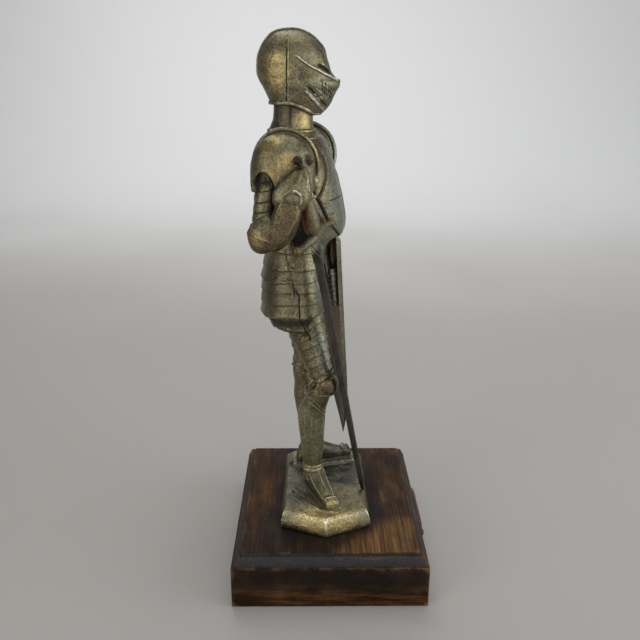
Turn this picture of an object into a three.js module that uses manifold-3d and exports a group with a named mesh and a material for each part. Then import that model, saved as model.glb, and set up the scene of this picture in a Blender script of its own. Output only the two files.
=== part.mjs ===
// Cast metal statuette of an armoured knight on a stained wooden plinth.
// Millimetres, +Z up. The origin is the centre of the plinth's underside.
// The knight looks along -Y, and its right side is towards -X.
import * as THREE from "three";
import { mergeVertices } from "three/addons/utils/BufferGeometryUtils.js";
import Module from "manifold-3d";

// Wooden plinth
const plinth_length = 140;
const plinth_width = 120;
const plinth_height = 34.7;
const plinth_block_height = 27.6;
const plinth_top_step = 1.8;
const plinth_moulding_inset = 4.4;
const plinth_step_inset = 1;

// Plaque on the plinth's front face
const plaque_length = 54;
const plaque_height = 15;
const plaque_thickness = 1.6;
const plaque_knob_radius = 2.2;
const plaque_knob_inset = 6;
const plaque_middle = 18.4;

// Cast base under the feet
const base_length = 100;
const base_width = 57;
const base_height = 11.8;
const base_point_length = 11.5;
const base_top_inset = 3.2;
const base_setback = 2.4;

// The knight stands this tall from the ground to the crown of the helmet
const figure_height = 286;

// Greatsword
const sword_blade_length = 180.4;
const sword_blade_width = 9.6;
const sword_blade_thickness = 2.8;
const sword_guard_span = 45.6;
const sword_guard_radius = 1.9;
const sword_ball_radius = 2.8;
const sword_grip_length = 40;
const sword_grip_radius = 3.1;
const sword_pommel_radius = 3;

// Shield
const shield_height = 143;
const shield_width = 46;
const shield_thickness = 1.8;
const shield_bulge = 5;
const shield_lean = 8.8;
const shield_rim_height = 0.9;
const shield_rim_width = 3;

// Loose pieces stand this far apart
const clearance = 0.3;

const wasm = await Module();
wasm.setup();

// The written pose fits a figure of this height, and is scaled from it
const pose_height = 286;
const figure_scale = figure_height / pose_height;
const ground = plinth_height + clearance + base_height;
const upright = new THREE.Vector3(0, 0, 1);
const forward = new THREE.Vector3(0, -1, 0);

// A point of the pose: sideways, backwards and up from the ground
function at(x, y, z) {
  return new THREE.Vector3(x, y, z).multiplyScalar(figure_scale);
}

// A closed form, ready for joining and cutting
function solid(geometry) {
  const bare = geometry.index ? geometry.toNonIndexed() : geometry.clone();
  bare.deleteAttribute("normal");
  bare.deleteAttribute("uv");
  const merged = mergeVertices(bare, 1e-4);
  const corners = merged.index.array;
  const kept = [];
  for (let i = 0; i < corners.length; i += 3) {
    const [a, b, c] = [corners[i], corners[i + 1], corners[i + 2]];
    if (a !== b && b !== c && c !== a) kept.push(a, b, c);
  }
  const mesh = new wasm.Mesh({
    numProp: 3,
    vertProperties: merged.attributes.position.array,
    triVerts: new Uint32Array(kept),
  });
  return new wasm.Manifold(mesh);
}

// A solid's surface, ready to show
function geometryOf(made) {
  const mesh = made.getMesh();
  const geometry = new THREE.BufferGeometry();
  geometry.setAttribute("position", new THREE.BufferAttribute(mesh.vertProperties, 3));
  geometry.setIndex(new THREE.BufferAttribute(mesh.triVerts, 1));
  geometry.computeVertexNormals();
  return geometry;
}

function join(parts) {
  return parts.reduce((whole, part) => whole.add(part));
}

// Moves every vertex of a form by a function
function reshape(geometry, move) {
  const place = geometry.attributes.position;
  const point = new THREE.Vector3();
  for (let i = 0; i < place.count; i += 1) {
    point.fromBufferAttribute(place, i);
    move(point);
    place.setXYZ(i, point.x, point.y, point.z);
  }
  return geometry;
}

// A lofted body. Each station has a centre, a half width and half depths before and behind it;
// sharp below 2 brings the front to a prow, and above 2 squares it.
function loft(stations, sides, facing = forward) {
  const last = stations.length - 1;
  const form = new THREE.CylinderGeometry(1, 1, 1, sides, last);
  return solid(
    reshape(form, (point) => {
      const k = Math.round((point.y + 0.5) * last);
      const station = stations[k];
      const before = stations[Math.max(k - 1, 0)].centre;
      const after = stations[Math.min(k + 1, last)].centre;
      const way = new THREE.Vector3().subVectors(after, before).normalize();
      const axis = station.axis ? station.axis.clone() : way;
      if (axis.dot(way) < 0) axis.negate();
      const front = facing.clone().addScaledVector(axis, -facing.dot(axis)).normalize();
      const side = new THREE.Vector3().crossVectors(axis, front);
      const reach = Math.hypot(point.x, point.z);
      const angle = Math.atan2(point.x, point.z);
      const depth = Math.cos(angle) > 0 ? station.front : station.back;
      const sharp = (Math.cos(angle) > 0 ? station.sharp : station.hind) ?? 2;
      const across = Math.sign(Math.sin(angle)) * Math.abs(Math.sin(angle)) ** (2 / sharp);
      const along = Math.sign(Math.cos(angle)) * Math.abs(Math.cos(angle)) ** (2 / sharp);
      point.copy(station.centre);
      point.addScaledVector(side, across * reach * station.wide);
      point.addScaledVector(front, along * reach * depth);
    }),
  );
}

// A station of a limb, whose section is an oval
function oval(centre, wide, deep) {
  const [half_wide, half_deep] = [wide * figure_scale, deep * figure_scale];
  return { centre, wide: half_wide, front: half_deep, back: half_deep };
}

// A limb made of lames: each flares to its lower edge and steps in under the next
function lamed(from, to, count, overlap) {
  const made = [];
  for (let i = 0; i < count; i += 1) {
    const [high, low] = [i / count, (i + 1) / count];
    made.push(mix(from, to, high, 0), mix(from, to, low - 0.02 / count, overlap * figure_scale));
  }
  return made;
}

// A station part of the way from one to another, grown outwards
function mix(from, to, share, grow) {
  const between = (key) => (from[key] ?? 2) + ((to[key] ?? 2) - (from[key] ?? 2)) * share;
  return {
    centre: new THREE.Vector3().lerpVectors(from.centre, to.centre, share),
    wide: between("wide") + grow,
    front: between("front") + grow,
    back: between("back") + grow,
    sharp: between("sharp"),
    hind: between("hind"),
    axis: from.axis ?? new THREE.Vector3().subVectors(to.centre, from.centre).normalize(),
  };
}

// An egg-shaped cap, its long way and its facing turned by a rotation
function cap(centre, radii, turn = [0, 0, 0], detail = [14, 10]) {
  const form = new THREE.SphereGeometry(1, ...detail);
  form.rotateX(Math.PI / 2);
  form.scale(...radii.map((radius) => radius * figure_scale));
  const turned = new THREE.Euler(...turn.map(THREE.MathUtils.degToRad));
  form.applyMatrix4(new THREE.Matrix4().makeRotationFromEuler(turned));
  form.translate(centre.x, centre.y, centre.z);
  return solid(form);
}

// A flat plate of a side outline, thick across the body, for ridges and cutting
function plate(outline, left, right) {
  const shape = new THREE.Shape(outline.map(([y, z]) => new THREE.Vector2(y, z)));
  const form = new THREE.ExtrudeGeometry(shape, { depth: right - left, bevelEnabled: false });
  form.applyMatrix4(new THREE.Matrix4().set(0, 0, 1, left, 1, 0, 0, 0, 0, 1, 0, 0, 0, 0, 0, 1));
  form.scale(figure_scale, figure_scale, figure_scale);
  return solid(form);
}

// A slab seen edge on from the side, along the line from one point to another
function slab([y1, z1], [y2, z2], thick, left = -60, right = 60) {
  const length = Math.hypot(y2 - y1, z2 - z1);
  const [ny, nz] = [(-(z2 - z1) / length) * (thick / 2), ((y2 - y1) / length) * (thick / 2)];
  return plate(
    [
      [y1 - ny, z1 - nz],
      [y2 - ny, z2 - nz],
      [y2 + ny, z2 + nz],
      [y1 + ny, z1 + nz],
    ],
    left,
    right,
  );
}

// A level ring of the helmet, body or skirt, at a height above the ground
function hoop([z, y, wide, front, back], sharp = 2, hind = 2, swell = 0) {
  return {
    centre: at(0, y, z),
    axis: upright,
    wide: (wide + swell) * figure_scale,
    front: (front + swell) * figure_scale,
    back: (back + swell) * figure_scale,
    sharp,
    hind,
  };
}

// Closed helmet with a beaked visor; swell grows it for ridges and rims
function helmet_skull(swell) {
  const round = 2;
  const beaked = 1.45;
  const drawn_in = 1.75;
  return loft(
    [
      hoop([238.6, 23, 10, 15.4, 11], beaked, round, swell),
      hoop([240.6, 22, 12, 17.4, 12.4], beaked, round, swell),
      hoop([243.5, 21, 13.6, 19.2, 13.8], beaked, round, swell),
      hoop([248, 20, 15, 20.8, 16], beaked, round, swell),
      hoop([255.8, 20, 16.6, 24.8, 19.6], beaked, round, swell),
      hoop([259, 20, 16.8, 22.8, 20.8], beaked, round, swell),
      hoop([263, 20, 17, 19.6, 21.4], drawn_in, round, swell),
      hoop([267, 20, 17, 18.4, 21.4], round, round, swell),
      hoop([272.5, 20, 16.3, 16.4, 20.2], round, round, swell),
      hoop([277.5, 20.5, 14.2, 13.2, 17.2], round, round, swell),
      hoop([281.5, 21.5, 10.6, 9.6, 12.8], round, round, swell),
      hoop([284.3, 22.6, 4.4, 4, 5.8], round, round, swell),
    ],
    16,
  );
}

// The comb runs over the crown from the nape to the brow
function helmet_comb() {
  const spans = 10;
  const [middle_y, middle_z] = [20.4, 262.4];
  const [nape_turn, brow_turn] = [-12, 148];
  const outer = [];
  const inner = [];
  for (let i = 0; i <= spans; i += 1) {
    const share = i / spans;
    const angle = THREE.MathUtils.degToRad(nape_turn + (brow_turn - nape_turn) * share);
    const reach = Math.cos(angle) > 0 ? 20.8 : 19;
    const proud = 1.2 * Math.sin(Math.PI * share) ** 0.5;
    outer.push([middle_y + (reach + proud) * Math.cos(angle), middle_z + (22.4 + proud) * Math.sin(angle)]);
    inner.unshift([middle_y + (reach - 4) * Math.cos(angle), middle_z + 17 * Math.sin(angle)]);
  }
  return plate([...outer, ...inner], -0.9, 0.9);
}

// The helmet's lower edge: level behind, falling to the neck and level again under the chin
const helmet_edge = [
  [48, 245],
  [24, 245],
  [17, 243],
  [10, 239.2],
  [-10, 240.6],
];

function head() {
  const grown = helmet_skull(0.8);
  const bright_ridge = grown.intersect(slab([19.5, 270.9], [-8, 255.6], 1.5));
  const below = plate([...helmet_edge, [-10, 200], [48, 200]], -40, 40);
  const rim_top = helmet_edge.map(([y, z]) => [y, z + 1.9]).reverse();
  const rim = grown.intersect(plate([...helmet_edge, ...rim_top], -40, 40));
  const sight = slab([9.5, 267.6], [-4, 260.1], 1.4).subtract(helmet_skull(-1.2));
  const skull = helmet_skull(0).subtract(below).add(helmet_comb());
  return join([skull.subtract(sight), bright_ridge, rim]);
}

// Neck and collar
function gorget() {
  return loft(
    [
      hoop([218, 22, 26, 22, 21]),
      hoop([227, 22.5, 17.5, 17, 16.5]),
      hoop([231, 22.7, 13, 12.4, 13]),
      hoop([233, 22.7, 12, 11.4, 11.8]),
      hoop([250, 22.8, 11.4, 11, 11]),
    ],
    14,
  );
}

// Body from the skirt's top to the shoulders; swell grows it for the breastplate
function trunk(swell) {
  const flat_back = 2.4;
  const keeled = 1.8;
  const softly_keeled = 1.9;
  const round = 2;
  return loft(
    [
      hoop([160, 18, 24, 17, 19.6], round, flat_back, swell),
      hoop([167, 18, 23.4, 20.8, 18.5], softly_keeled, flat_back, swell),
      hoop([172, 17, 25, 23.8, 20], keeled, flat_back, swell),
      hoop([180, 17, 27.5, 24.6, 21.5], keeled, flat_back, swell),
      hoop([190, 17, 29.8, 23.2, 22.8], softly_keeled, flat_back, swell),
      hoop([199, 17.5, 31, 21.6, 23.4], round, flat_back, swell),
      hoop([209, 18, 31, 19.6, 23], round, flat_back, swell),
      hoop([217, 19.5, 28.5, 18.4, 20.5], round, flat_back, swell),
      hoop([224, 21.5, 20, 14.5, 15.5], round, flat_back, swell),
      hoop([228, 22, 14, 11, 12], round, flat_back, swell),
    ],
    16,
  );
}

// The breastplate stands proud of the body and ends in a point low on the belly
function breastplate() {
  const edge = new THREE.Shape(
    [
      [-34, 205],
      [0, 168.2],
      [34, 205],
      [24, 224],
      [-24, 224],
    ].map(([x, z]) => new THREE.Vector2(x, z)),
  );
  const form = new THREE.ExtrudeGeometry(edge, { depth: 40, bevelEnabled: false });
  form.applyMatrix4(new THREE.Matrix4().set(1, 0, 0, 0, 0, 0, -1, 9, 0, 1, 0, 0, 0, 0, 0, 1));
  form.scale(figure_scale, figure_scale, figure_scale);
  return trunk(1).intersect(solid(form));
}

// Skirt of hoops, with a mail hem below it
function skirt() {
  const squared = 2.4;
  const top = hoop([171, 17.5, 24.5, 19, 19.8], 2.2, 2.2);
  const middle = hoop([150, 18, 30.5, 18.4, 23.2], 2.2, squared);
  const bottom = hoop([126, 18.5, 33, 17, 23.8], 2.2, squared);
  const flare = 0.9;
  const hoops = loft([...lamed(top, middle, 3, flare), ...lamed(middle, bottom, 3, flare)], 16);
  const hem = loft(
    [
      hoop([115, 18, 27, 13, 14.5], 2.2, squared),
      hoop([118.6, 18, 30, 14.5, 19], 2.2, squared),
      hoop([128, 18, 31, 15.5, 22], 2.2, squared),
    ],
    16,
  );
  return hoops.add(hem);
}

// Pauldron: a dome over the shoulder, arched over the arm, with a raised rim towards the neck.
// side is -1 for the knight's right and 1 for its left
function pauldron(side) {
  const centre = side < 0 ? at(-33.5, 27, 213.4) : at(33.5, 15.5, 213.4);
  const lean_in = 0.06;
  const row = (rise, wide, deep) =>
    oval(centre.clone().add(at(-side * rise * lean_in, 0, rise)), wide, deep);
  const dome = loft(
    [
      row(-15, 11.4, 17.2),
      row(-8, 12.8, 17.8),
      row(0, 13.4, 17.6),
      row(7, 12.4, 16.2),
      row(13, 9.8, 13),
      row(17.4, 5.8, 8.2),
      row(19.2, 1.6, 2.6),
    ],
    14,
  );
  const rim_centre = centre.clone().add(at(-side * 5, -0.4, 1));
  const rim = cap(rim_centre, [2.8, 18.6, 18.9], [0, side * 14, 0], [12, 6]);
  const arch = new THREE.CylinderGeometry(1, 1, 30, 10);
  arch.rotateZ(Math.PI / 2);
  arch.scale(figure_scale, 6.4 * figure_scale, 9 * figure_scale);
  const arm_side = centre.clone().add(at(side * 21, 9, -12.4));
  arch.translate(arm_side.x, arm_side.y, arm_side.z);
  const below = plate(
    [
      [-60, 100],
      [90, 100],
      [90, 199.4],
      [-60, 203.4],
    ],
    -80,
    80,
  );
  return dome.subtract(solid(arch)).add(rim).subtract(below);
}

// Right arm, bent up to hold the sword under its pommel
function right_arm(hand) {
  const shoulder = oval(at(-37.5, 35, 214), 6, 6);
  const elbow = oval(at(-44, 37.4, 184), 6.2, 6.2);
  const upper = loft(lamed(shoulder, elbow, 4, 0.6), 10);
  const couter = cap(at(-47, 36.6, 179.6), [8, 8.6, 11.6], [22, 0, 0], [10, 6]);
  const point = cap(at(-47.5, 42.4, 181.3), [4.4, 4.2, 4.4], [0, 0, 0], [10, 6]);
  const up_the_arm = new THREE.Vector3(0, -0.9, -0.4);
  const vambrace = loft(
    [
      oval(at(-47, 33.5, 170.5), 5, 4.6),
      oval(at(-48, 31, 174.6), 7, 7.2),
      oval(at(-49, 27.2, 181.5), 7.4, 8),
      oval(at(-49.6, 24.8, 189), 7.4, 7.8),
      oval(at(-49.6, 23, 197), 6.6, 6.8),
    ],
    10,
    up_the_arm,
  );
  const cuff = loft(
    [
      oval(at(-49.6, 23.6, 195.6), 7, 8.2),
      oval(at(-49.6, 22.4, 199.6), 7.4, 9),
      oval(at(-48.6, 19.4, 206), 6.2, 6.8),
      oval(at(-47.6, 16.6, 212.4), 4.6, 4.2),
    ],
    10,
    up_the_arm,
  );
  const boss = cap(at(-54, 20.2, 196.4), [2.8, 3.4, 5.4], [20, 0, 0], [10, 6]);
  const palm = cap(hand, [5, 5.6, 7.2], [30, 0, 0], [10, 7]);
  return join([upper, couter, point, vambrace, cuff, boss, palm]);
}

// Left arm, bent forward and down, with the hand flat against the back of the shield
function left_arm() {
  const shoulder = oval(at(37.5, 22, 214), 6, 6);
  const elbow = oval(at(44, 28, 180), 6.2, 6.2);
  const upper = loft(lamed(shoulder, elbow, 4, 0.6), 10);
  const couter = cap(at(46, 29, 176), [8.2, 9, 10.4], [20, 0, 0], [10, 6]);
  const vambrace = loft(
    [
      oval(at(46.5, 31.5, 171), 5, 5.2),
      oval(at(44, 27, 172), 7.4, 7.6),
      oval(at(38, 18.5, 171), 7.4, 7.6),
      oval(at(30, 10, 166), 6.2, 6.4),
      oval(at(26, 6, 160), 5, 5),
    ],
    10,
    upright,
  );
  const cuff = loft(
    [
      oval(at(27.4, 8, 163), 6.2, 6.2),
      oval(at(25, 3.8, 158), 6.4, 5),
      oval(at(24.6, 3.2, 151), 5, 4),
    ],
    10,
  );
  const back_of_hand = loft(
    [
      oval(at(24.6, 3.2, 152), 4.6, 3.6),
      oval(at(24.4, 2.2, 145), 6.2, 4),
      oval(at(24.2, 0.5, 137), 6.2, 3.8),
    ],
    10,
  );
  const fingers = [];
  for (let i = 0; i < 4; i += 1) {
    const across = (i - 1.5) * 3.1;
    const length = 22 - Math.abs(i - 1.3) * 1.6;
    const knuckle = oval(at(24.2 + across, 0.2 + across * 0.28, 138), 1.9, 2.8);
    const tip = oval(at(24 + across, -2.4 + across * 0.28, 138 - length), 1.3, 1.7);
    fingers.push(loft(lamed(knuckle, tip, 3, 0.35), 5));
  }
  return join([upper, couter, vambrace, cuff, back_of_hand, ...fingers]);
}

// Fingers wrapped round the grip
function right_fingers(hand, axis) {
  const made = [];
  for (let i = 0; i < 4; i += 1) {
    const form = new THREE.TorusGeometry(5.1, 1.62, 5, 7);
    form.applyQuaternion(new THREE.Quaternion().setFromUnitVectors(upright, axis));
    form.scale(figure_scale, figure_scale, figure_scale);
    const place = hand.clone().addScaledVector(axis, (4.8 - i * 3.2) * figure_scale);
    form.translate(place.x, place.y, place.z);
    made.push(solid(form));
  }
  return join(made);
}

// A leg from hip to ankle, with laminated thigh, domed knee and greave
function leg(hip, knee, calf, ankle, knee_facing) {
  const above_knee = knee.clone().lerp(hip, 0.1);
  const thigh = loft(lamed(oval(hip, 12.2, 12.2), oval(above_knee, 7, 6.6), 5, 0.6), 10);
  const knee_dome = knee.clone().addScaledVector(knee_facing, 2.2 * figure_scale);
  const poleyn = cap(knee_dome, [6.8, 6.6, 7.2], [0, 0, 0], [10, 6]);
  const knee_side = new THREE.Vector3().crossVectors(upright, knee_facing).normalize();
  const wing_centre = knee.clone().addScaledVector(knee_side, Math.sign(hip.x) * 6 * figure_scale);
  const wing = cap(wing_centre, [2.2, 4.8, 5.4], [0, 0, 0], [8, 5]);
  const greave = loft(
    [
      oval(knee.clone().add(at(0, 1.4, 5)), 6, 6),
      oval(knee.clone().add(at(0, 2, -4)), 6.8, 7.2),
      oval(knee.clone().lerp(calf, 0.6), 7.4, 8.2),
      oval(calf, 7.8, 8.8),
      oval(calf.clone().lerp(ankle, 0.45), 6.8, 7.6),
      oval(ankle, 5.6, 6),
    ],
    10,
  );
  const cuff = loft(
    [
      oval(ankle.clone().add(at(0, 0, 3)), 5.9, 6.2),
      oval(ankle.clone().add(at(0, 0, -1.6)), 6.8, 7),
      oval(ankle.clone().add(at(0, 0, -2)), 5, 5),
    ],
    10,
  );
  return join([thigh, poleyn, wing, greave, cuff]);
}

// A steel shoe with a raised toe plate, on a flat sole
function sabaton(heel, toe, ankle) {
  const way = new THREE.Vector3().subVectors(toe, heel).normalize();
  const step = (share) => new THREE.Vector3().lerpVectors(heel, toe, share);
  const row = (share, wide, top) => {
    const centre = step(share);
    centre.z += (top * figure_scale) / 2 - 1;
    return {
      centre,
      wide: wide * figure_scale,
      front: (top * figure_scale) / 2,
      back: (top * figure_scale) / 2 + 1,
      axis: way,
      sharp: 1.7,
      hind: 3,
    };
  };
  const shoe = loft(
    [
      row(0, 3, 8),
      row(0.07, 4.8, 14),
      row(0.26, 5.8, 18.5),
      row(0.45, 5.2, 13.5),
      row(0.62, 4.8, 10),
      row(0.8, 4.2, 7),
      row(0.82, 4.6, 7.8),
      row(0.98, 4.2, 6),
    ],
    10,
    upright,
  );
  const shin = loft([oval(ankle.clone().add(at(0, 0, -8)), 6.2, 6.8), oval(ankle, 5.4, 5.8)], 8);
  const side = new THREE.Vector3().crossVectors(way, upright).normalize();
  const edge = [
    [0, 3],
    [0.3, 5.6],
    [0.74, 5.6],
    [1, 5],
  ];
  const outline = [...edge, ...edge.map(([share, wide]) => [share, -wide]).reverse()];
  const corners = outline.map(([share, wide]) => {
    const spot = step(share).addScaledVector(side, wide * figure_scale);
    return new THREE.Vector2(spot.x, spot.y);
  });
  const sole_bottom = -1;
  const sole = new THREE.ExtrudeGeometry(new THREE.Shape(corners), {
    depth: heel.z - sole_bottom + 0.8 * figure_scale,
    bevelEnabled: false,
  });
  sole.translate(0, 0, sole_bottom);
  return join([shoe, shin, solid(sole)]);
}

// Greatsword: the axis runs from the pommel to the tip, the guard across it
const sword_hilt_top = at(-48.5, 17.6, 217.8);
const sword_heading = at(-14.6, -22.4, 1).sub(sword_hilt_top).normalize();
const guard_heading = new THREE.Vector3(17.1, -9.25, 4.5);
guard_heading.addScaledVector(sword_heading, -guard_heading.dot(sword_heading)).normalize();

function sword(grow) {
  const edge = sword_heading;
  const flat = new THREE.Vector3().crossVectors(edge, guard_heading).normalize();
  const along = (distance) => sword_hilt_top.clone().addScaledVector(edge, distance);
  const blade_start = sword_pommel_radius + sword_grip_length;
  const blade_end = blade_start + sword_blade_length;
  const row = (distance, share) => ({
    centre: along(distance),
    axis: edge,
    wide: (sword_blade_width / 2) * share + grow,
    front: (sword_blade_thickness / 2) * (0.55 + 0.45 * share) + grow,
    back: (sword_blade_thickness / 2) * (0.55 + 0.45 * share) + grow,
  });
  const blade = loft(
    [
      row(blade_start - 2, 1),
      row(blade_start + sword_blade_length * 0.5, 0.72),
      row(blade_end - 10, 0.4),
      row(blade_end + grow, 0.12),
    ],
    4,
    flat,
  );
  const shoulder_rows = [row(blade_start - 2, 1.22), row(blade_start + 12, 1.16), row(blade_start + 17, 0.3)];
  const shoulder = loft(shoulder_rows, 4, flat);
  const ring = (centre, radius) => ({
    centre,
    wide: radius + grow,
    front: radius + grow,
    back: radius + grow,
  });
  const round = (distance, radius) => ring(along(distance), radius);
  const grip = loft(
    [
      round(0, sword_grip_radius * 0.7),
      round(blade_start * 0.3, sword_grip_radius * 0.85),
      round(blade_start * 0.62, sword_grip_radius * 1.12),
      round(blade_start * 0.86, sword_grip_radius * 0.9),
      round(blade_start, sword_grip_radius * 0.75),
    ],
    8,
  );
  const pommel_form = new THREE.SphereGeometry(sword_pommel_radius + grow, 8, 6);
  pommel_form.translate(...sword_hilt_top.toArray());
  const half = sword_guard_span / 2 - sword_ball_radius;
  const guard_points = [-1, -0.55, -0.2, 0.2, 0.55, 1].map((share) =>
    along(blade_start - 1 - Math.sin(share * Math.PI) * 2.2).addScaledVector(guard_heading, share * half),
  );
  const guard_shares = [0.8, 0.95, 1.35, 1.35, 0.95, 0.8];
  const guard_rings = guard_points.map((centre, i) => ring(centre, guard_shares[i] * sword_guard_radius));
  const guard = loft(guard_rings, 6, flat);
  const balls = [guard_points[0], guard_points[guard_points.length - 1]].map((centre) => {
    const ball = new THREE.SphereGeometry(sword_ball_radius + grow, 8, 6);
    ball.translate(...centre.toArray());
    return solid(ball);
  });
  return join([blade, shoulder, grip, solid(pommel_form), guard, ...balls]);
}

// Shield: a bowed plate that narrows to a point, with a raised border and a middle ridge outside.
// Its top leans back to the body, and it is turned towards the knight's left.
const shield_foot = at(27, -5.5, 21.4);
const shield_turn = THREE.MathUtils.degToRad(17);

// The half width as a share, from the point at 0 to the straight top at 1
function shield_half(share) {
  const bend = 0.62;
  return share < bend ? Math.sin((share / bend) * Math.PI * 0.5) ** 0.86 : 1;
}

function shield(grow) {
  const rim = 2 * (shield_rim_width / shield_width);
  const half_columns = [1, 1 - rim, 1 - rim * 1.25, 0.45, 0.06];
  const columns = [...half_columns.map((share) => -share), ...half_columns.toReversed()];
  const rows = 10;
  const form = new THREE.BoxGeometry(columns.length - 1, 1, 1, columns.length - 1, 1, rows);
  reshape(form, (point) => {
    const column = Math.round(point.x + (columns.length - 1) / 2);
    const share = point.z + 0.5;
    const across = columns[column] * Math.max((shield_width / 2) * shield_half(share), 0.6);
    const grown = across + Math.sign(columns[column]) * grow * Math.abs(columns[column]);
    const bow = shield_bulge * (1 - (across / (shield_width / 2)) ** 2);
    const border = column < 2 || column > columns.length - 3 || column === 4 || column === 5;
    const raised = border ? shield_rim_height : 0;
    const face = point.y < 0 ? -shield_thickness / 2 - raised - grow : shield_thickness / 2 + grow;
    const height = share * shield_height + (share - 0.5) * 2 * grow;
    point.set(grown, face - bow + shield_lean * share, height);
  });
  const turned = new THREE.Matrix4().makeRotationZ(shield_turn);
  turned.setPosition(shield_foot);
  form.applyMatrix4(turned);
  return solid(form);
}

// Cast ground: six-sided, with pointed ends and rounded sides
function cast_base() {
  const outline = (inset) => {
    const [half, wide] = [base_length / 2 - inset * 1.2, base_width / 2 - inset];
    return [
      [half, 0],
      [half - base_point_length, wide],
      [-half + base_point_length, wide],
      [-half, 0],
      [-half + base_point_length, -wide],
      [half - base_point_length, -wide],
    ];
  };
  const levels = [
    [0.4, 0],
    [0, 0.12],
    [0.25, 0.35],
    [0.5, 0.6],
    [0.75, 0.85],
    [1, 1],
  ];
  const form = new THREE.CylinderGeometry(1, 1, 1, 6, levels.length - 1, false, Math.PI / 2);
  form.rotateX(Math.PI / 2);
  reshape(form, (point) => {
    const [share, high] = levels[Math.round((point.z + 0.5) * (levels.length - 1))];
    const reach = Math.hypot(point.x, point.y);
    const turn = Math.round((Math.atan2(point.y, point.x) / (2 * Math.PI)) * 6 + 6) % 6;
    const rounded = base_top_inset * (1 - Math.cos(share * Math.PI * 0.5));
    const [x, y] = outline(rounded)[turn];
    point.set(x * reach, y * reach + base_setback, high * base_height + plinth_height + clearance);
  });
  return solid(form);
}

// The cast earth swells under the feet, with a curved ridge beside the right foot
function earth() {
  const under_left = cap(at(20, 8, -1.6), [13, 19, 4.4], [0, 0, -10], [10, 6]);
  const under_right = cap(at(-16, 6, -1.8), [22, 9, 3.2], [0, 0, 20], [10, 6]);
  const half_wide = 1.7 * figure_scale;
  const section = new THREE.Shape().absarc(0, 0, half_wide, 0, 2 * Math.PI);
  const line = [at(-9, 26, -0.8), at(-23.7, 19.5, -0.2), at(-34, 10.4, -0.2), at(-40, 3.4, -0.4)];
  const ridge = new THREE.ExtrudeGeometry(section, {
    steps: 6,
    curveSegments: 3,
    bevelEnabled: false,
    extrudePath: new THREE.CatmullRomCurve3(line),
  });
  return join([under_left, under_right, solid(ridge)]);
}

function knight() {
  const hand = sword_hilt_top.clone().addScaledVector(sword_heading, 12 * figure_scale);
  const right_hip = at(-16, 16.5, 124);
  const right_ankle = at(-9.5, 10.6, 16);
  const right_facing = new THREE.Vector3(-0.3, -0.95, 0);
  const right = leg(right_hip, at(-21.5, 3.6, 80), at(-14.5, 11.4, 56), right_ankle, right_facing);
  const right_shoe = sabaton(at(2, 13.4, 1.6), at(-39.6, -2.4, 1), right_ankle);
  const left_hip = at(16, 19, 124);
  const left_ankle = at(20.5, 11.6, 19);
  const left_facing = new THREE.Vector3(0.1, -0.99, 0);
  const left = leg(left_hip, at(20.5, 15, 78), at(21, 14.6, 54), left_ankle, left_facing);
  const left_shoe = sabaton(at(18, 21, 4.6), at(29.4, -16.2, 4.2), left_ankle);
  const whole = join([
    head(),
    gorget(),
    trunk(0),
    breastplate(),
    skirt(),
    pauldron(-1),
    pauldron(1),
    right_arm(hand.clone().add(at(-2, 2.4, -1))),
    right_fingers(hand, sword_heading),
    left_arm(),
    right,
    left,
    right_shoe,
    left_shoe,
    earth(),
  ]);
  const standing = whole.translate([0, 0, ground]);
  const below = new THREE.BoxGeometry(4 * base_length, 4 * base_width, 2 * plinth_height + 2 * clearance);
  const cut = standing.subtract(solid(below));
  return cut
    .add(cast_base())
    .subtract(sword(clearance).translate([0, 0, ground]))
    .subtract(shield(clearance).translate([0, 0, ground]));
}

// Plinth: a block with a curved moulding round a raised panel
function plinth() {
  const moulding_height = plinth_height - plinth_block_height - plinth_top_step;
  const levels = [
    [0, 0],
    [0, plinth_block_height],
    [plinth_step_inset, plinth_block_height],
  ];
  const curve_steps = 5;
  for (let i = 1; i <= curve_steps; i += 1) {
    const angle = (i / curve_steps) * (Math.PI / 2);
    levels.push([
      plinth_step_inset + (plinth_moulding_inset - plinth_step_inset) * (1 - Math.cos(angle)),
      plinth_block_height + moulding_height * Math.sin(angle),
    ]);
  }
  levels.push([plinth_moulding_inset + plinth_step_inset, plinth_height - plinth_top_step]);
  levels.push([plinth_moulding_inset + plinth_step_inset, plinth_height]);
  const form = new THREE.CylinderGeometry(1, 1, 1, 4, levels.length - 1);
  form.rotateX(Math.PI / 2);
  reshape(form, (point) => {
    const [inset, high] = levels[Math.round((point.z + 0.5) * (levels.length - 1))];
    const reach = Math.hypot(point.x, point.y);
    const turn = Math.round((Math.atan2(point.x, point.y) / (2 * Math.PI)) * 4 + 4) % 4;
    const [right, back] = [
      [1, 1],
      [1, -1],
      [-1, -1],
      [-1, 1],
    ][turn];
    point.set(right * (plinth_length / 2 - inset) * reach, back * (plinth_width / 2 - inset) * reach, high);
  });
  return solid(form);
}

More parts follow.
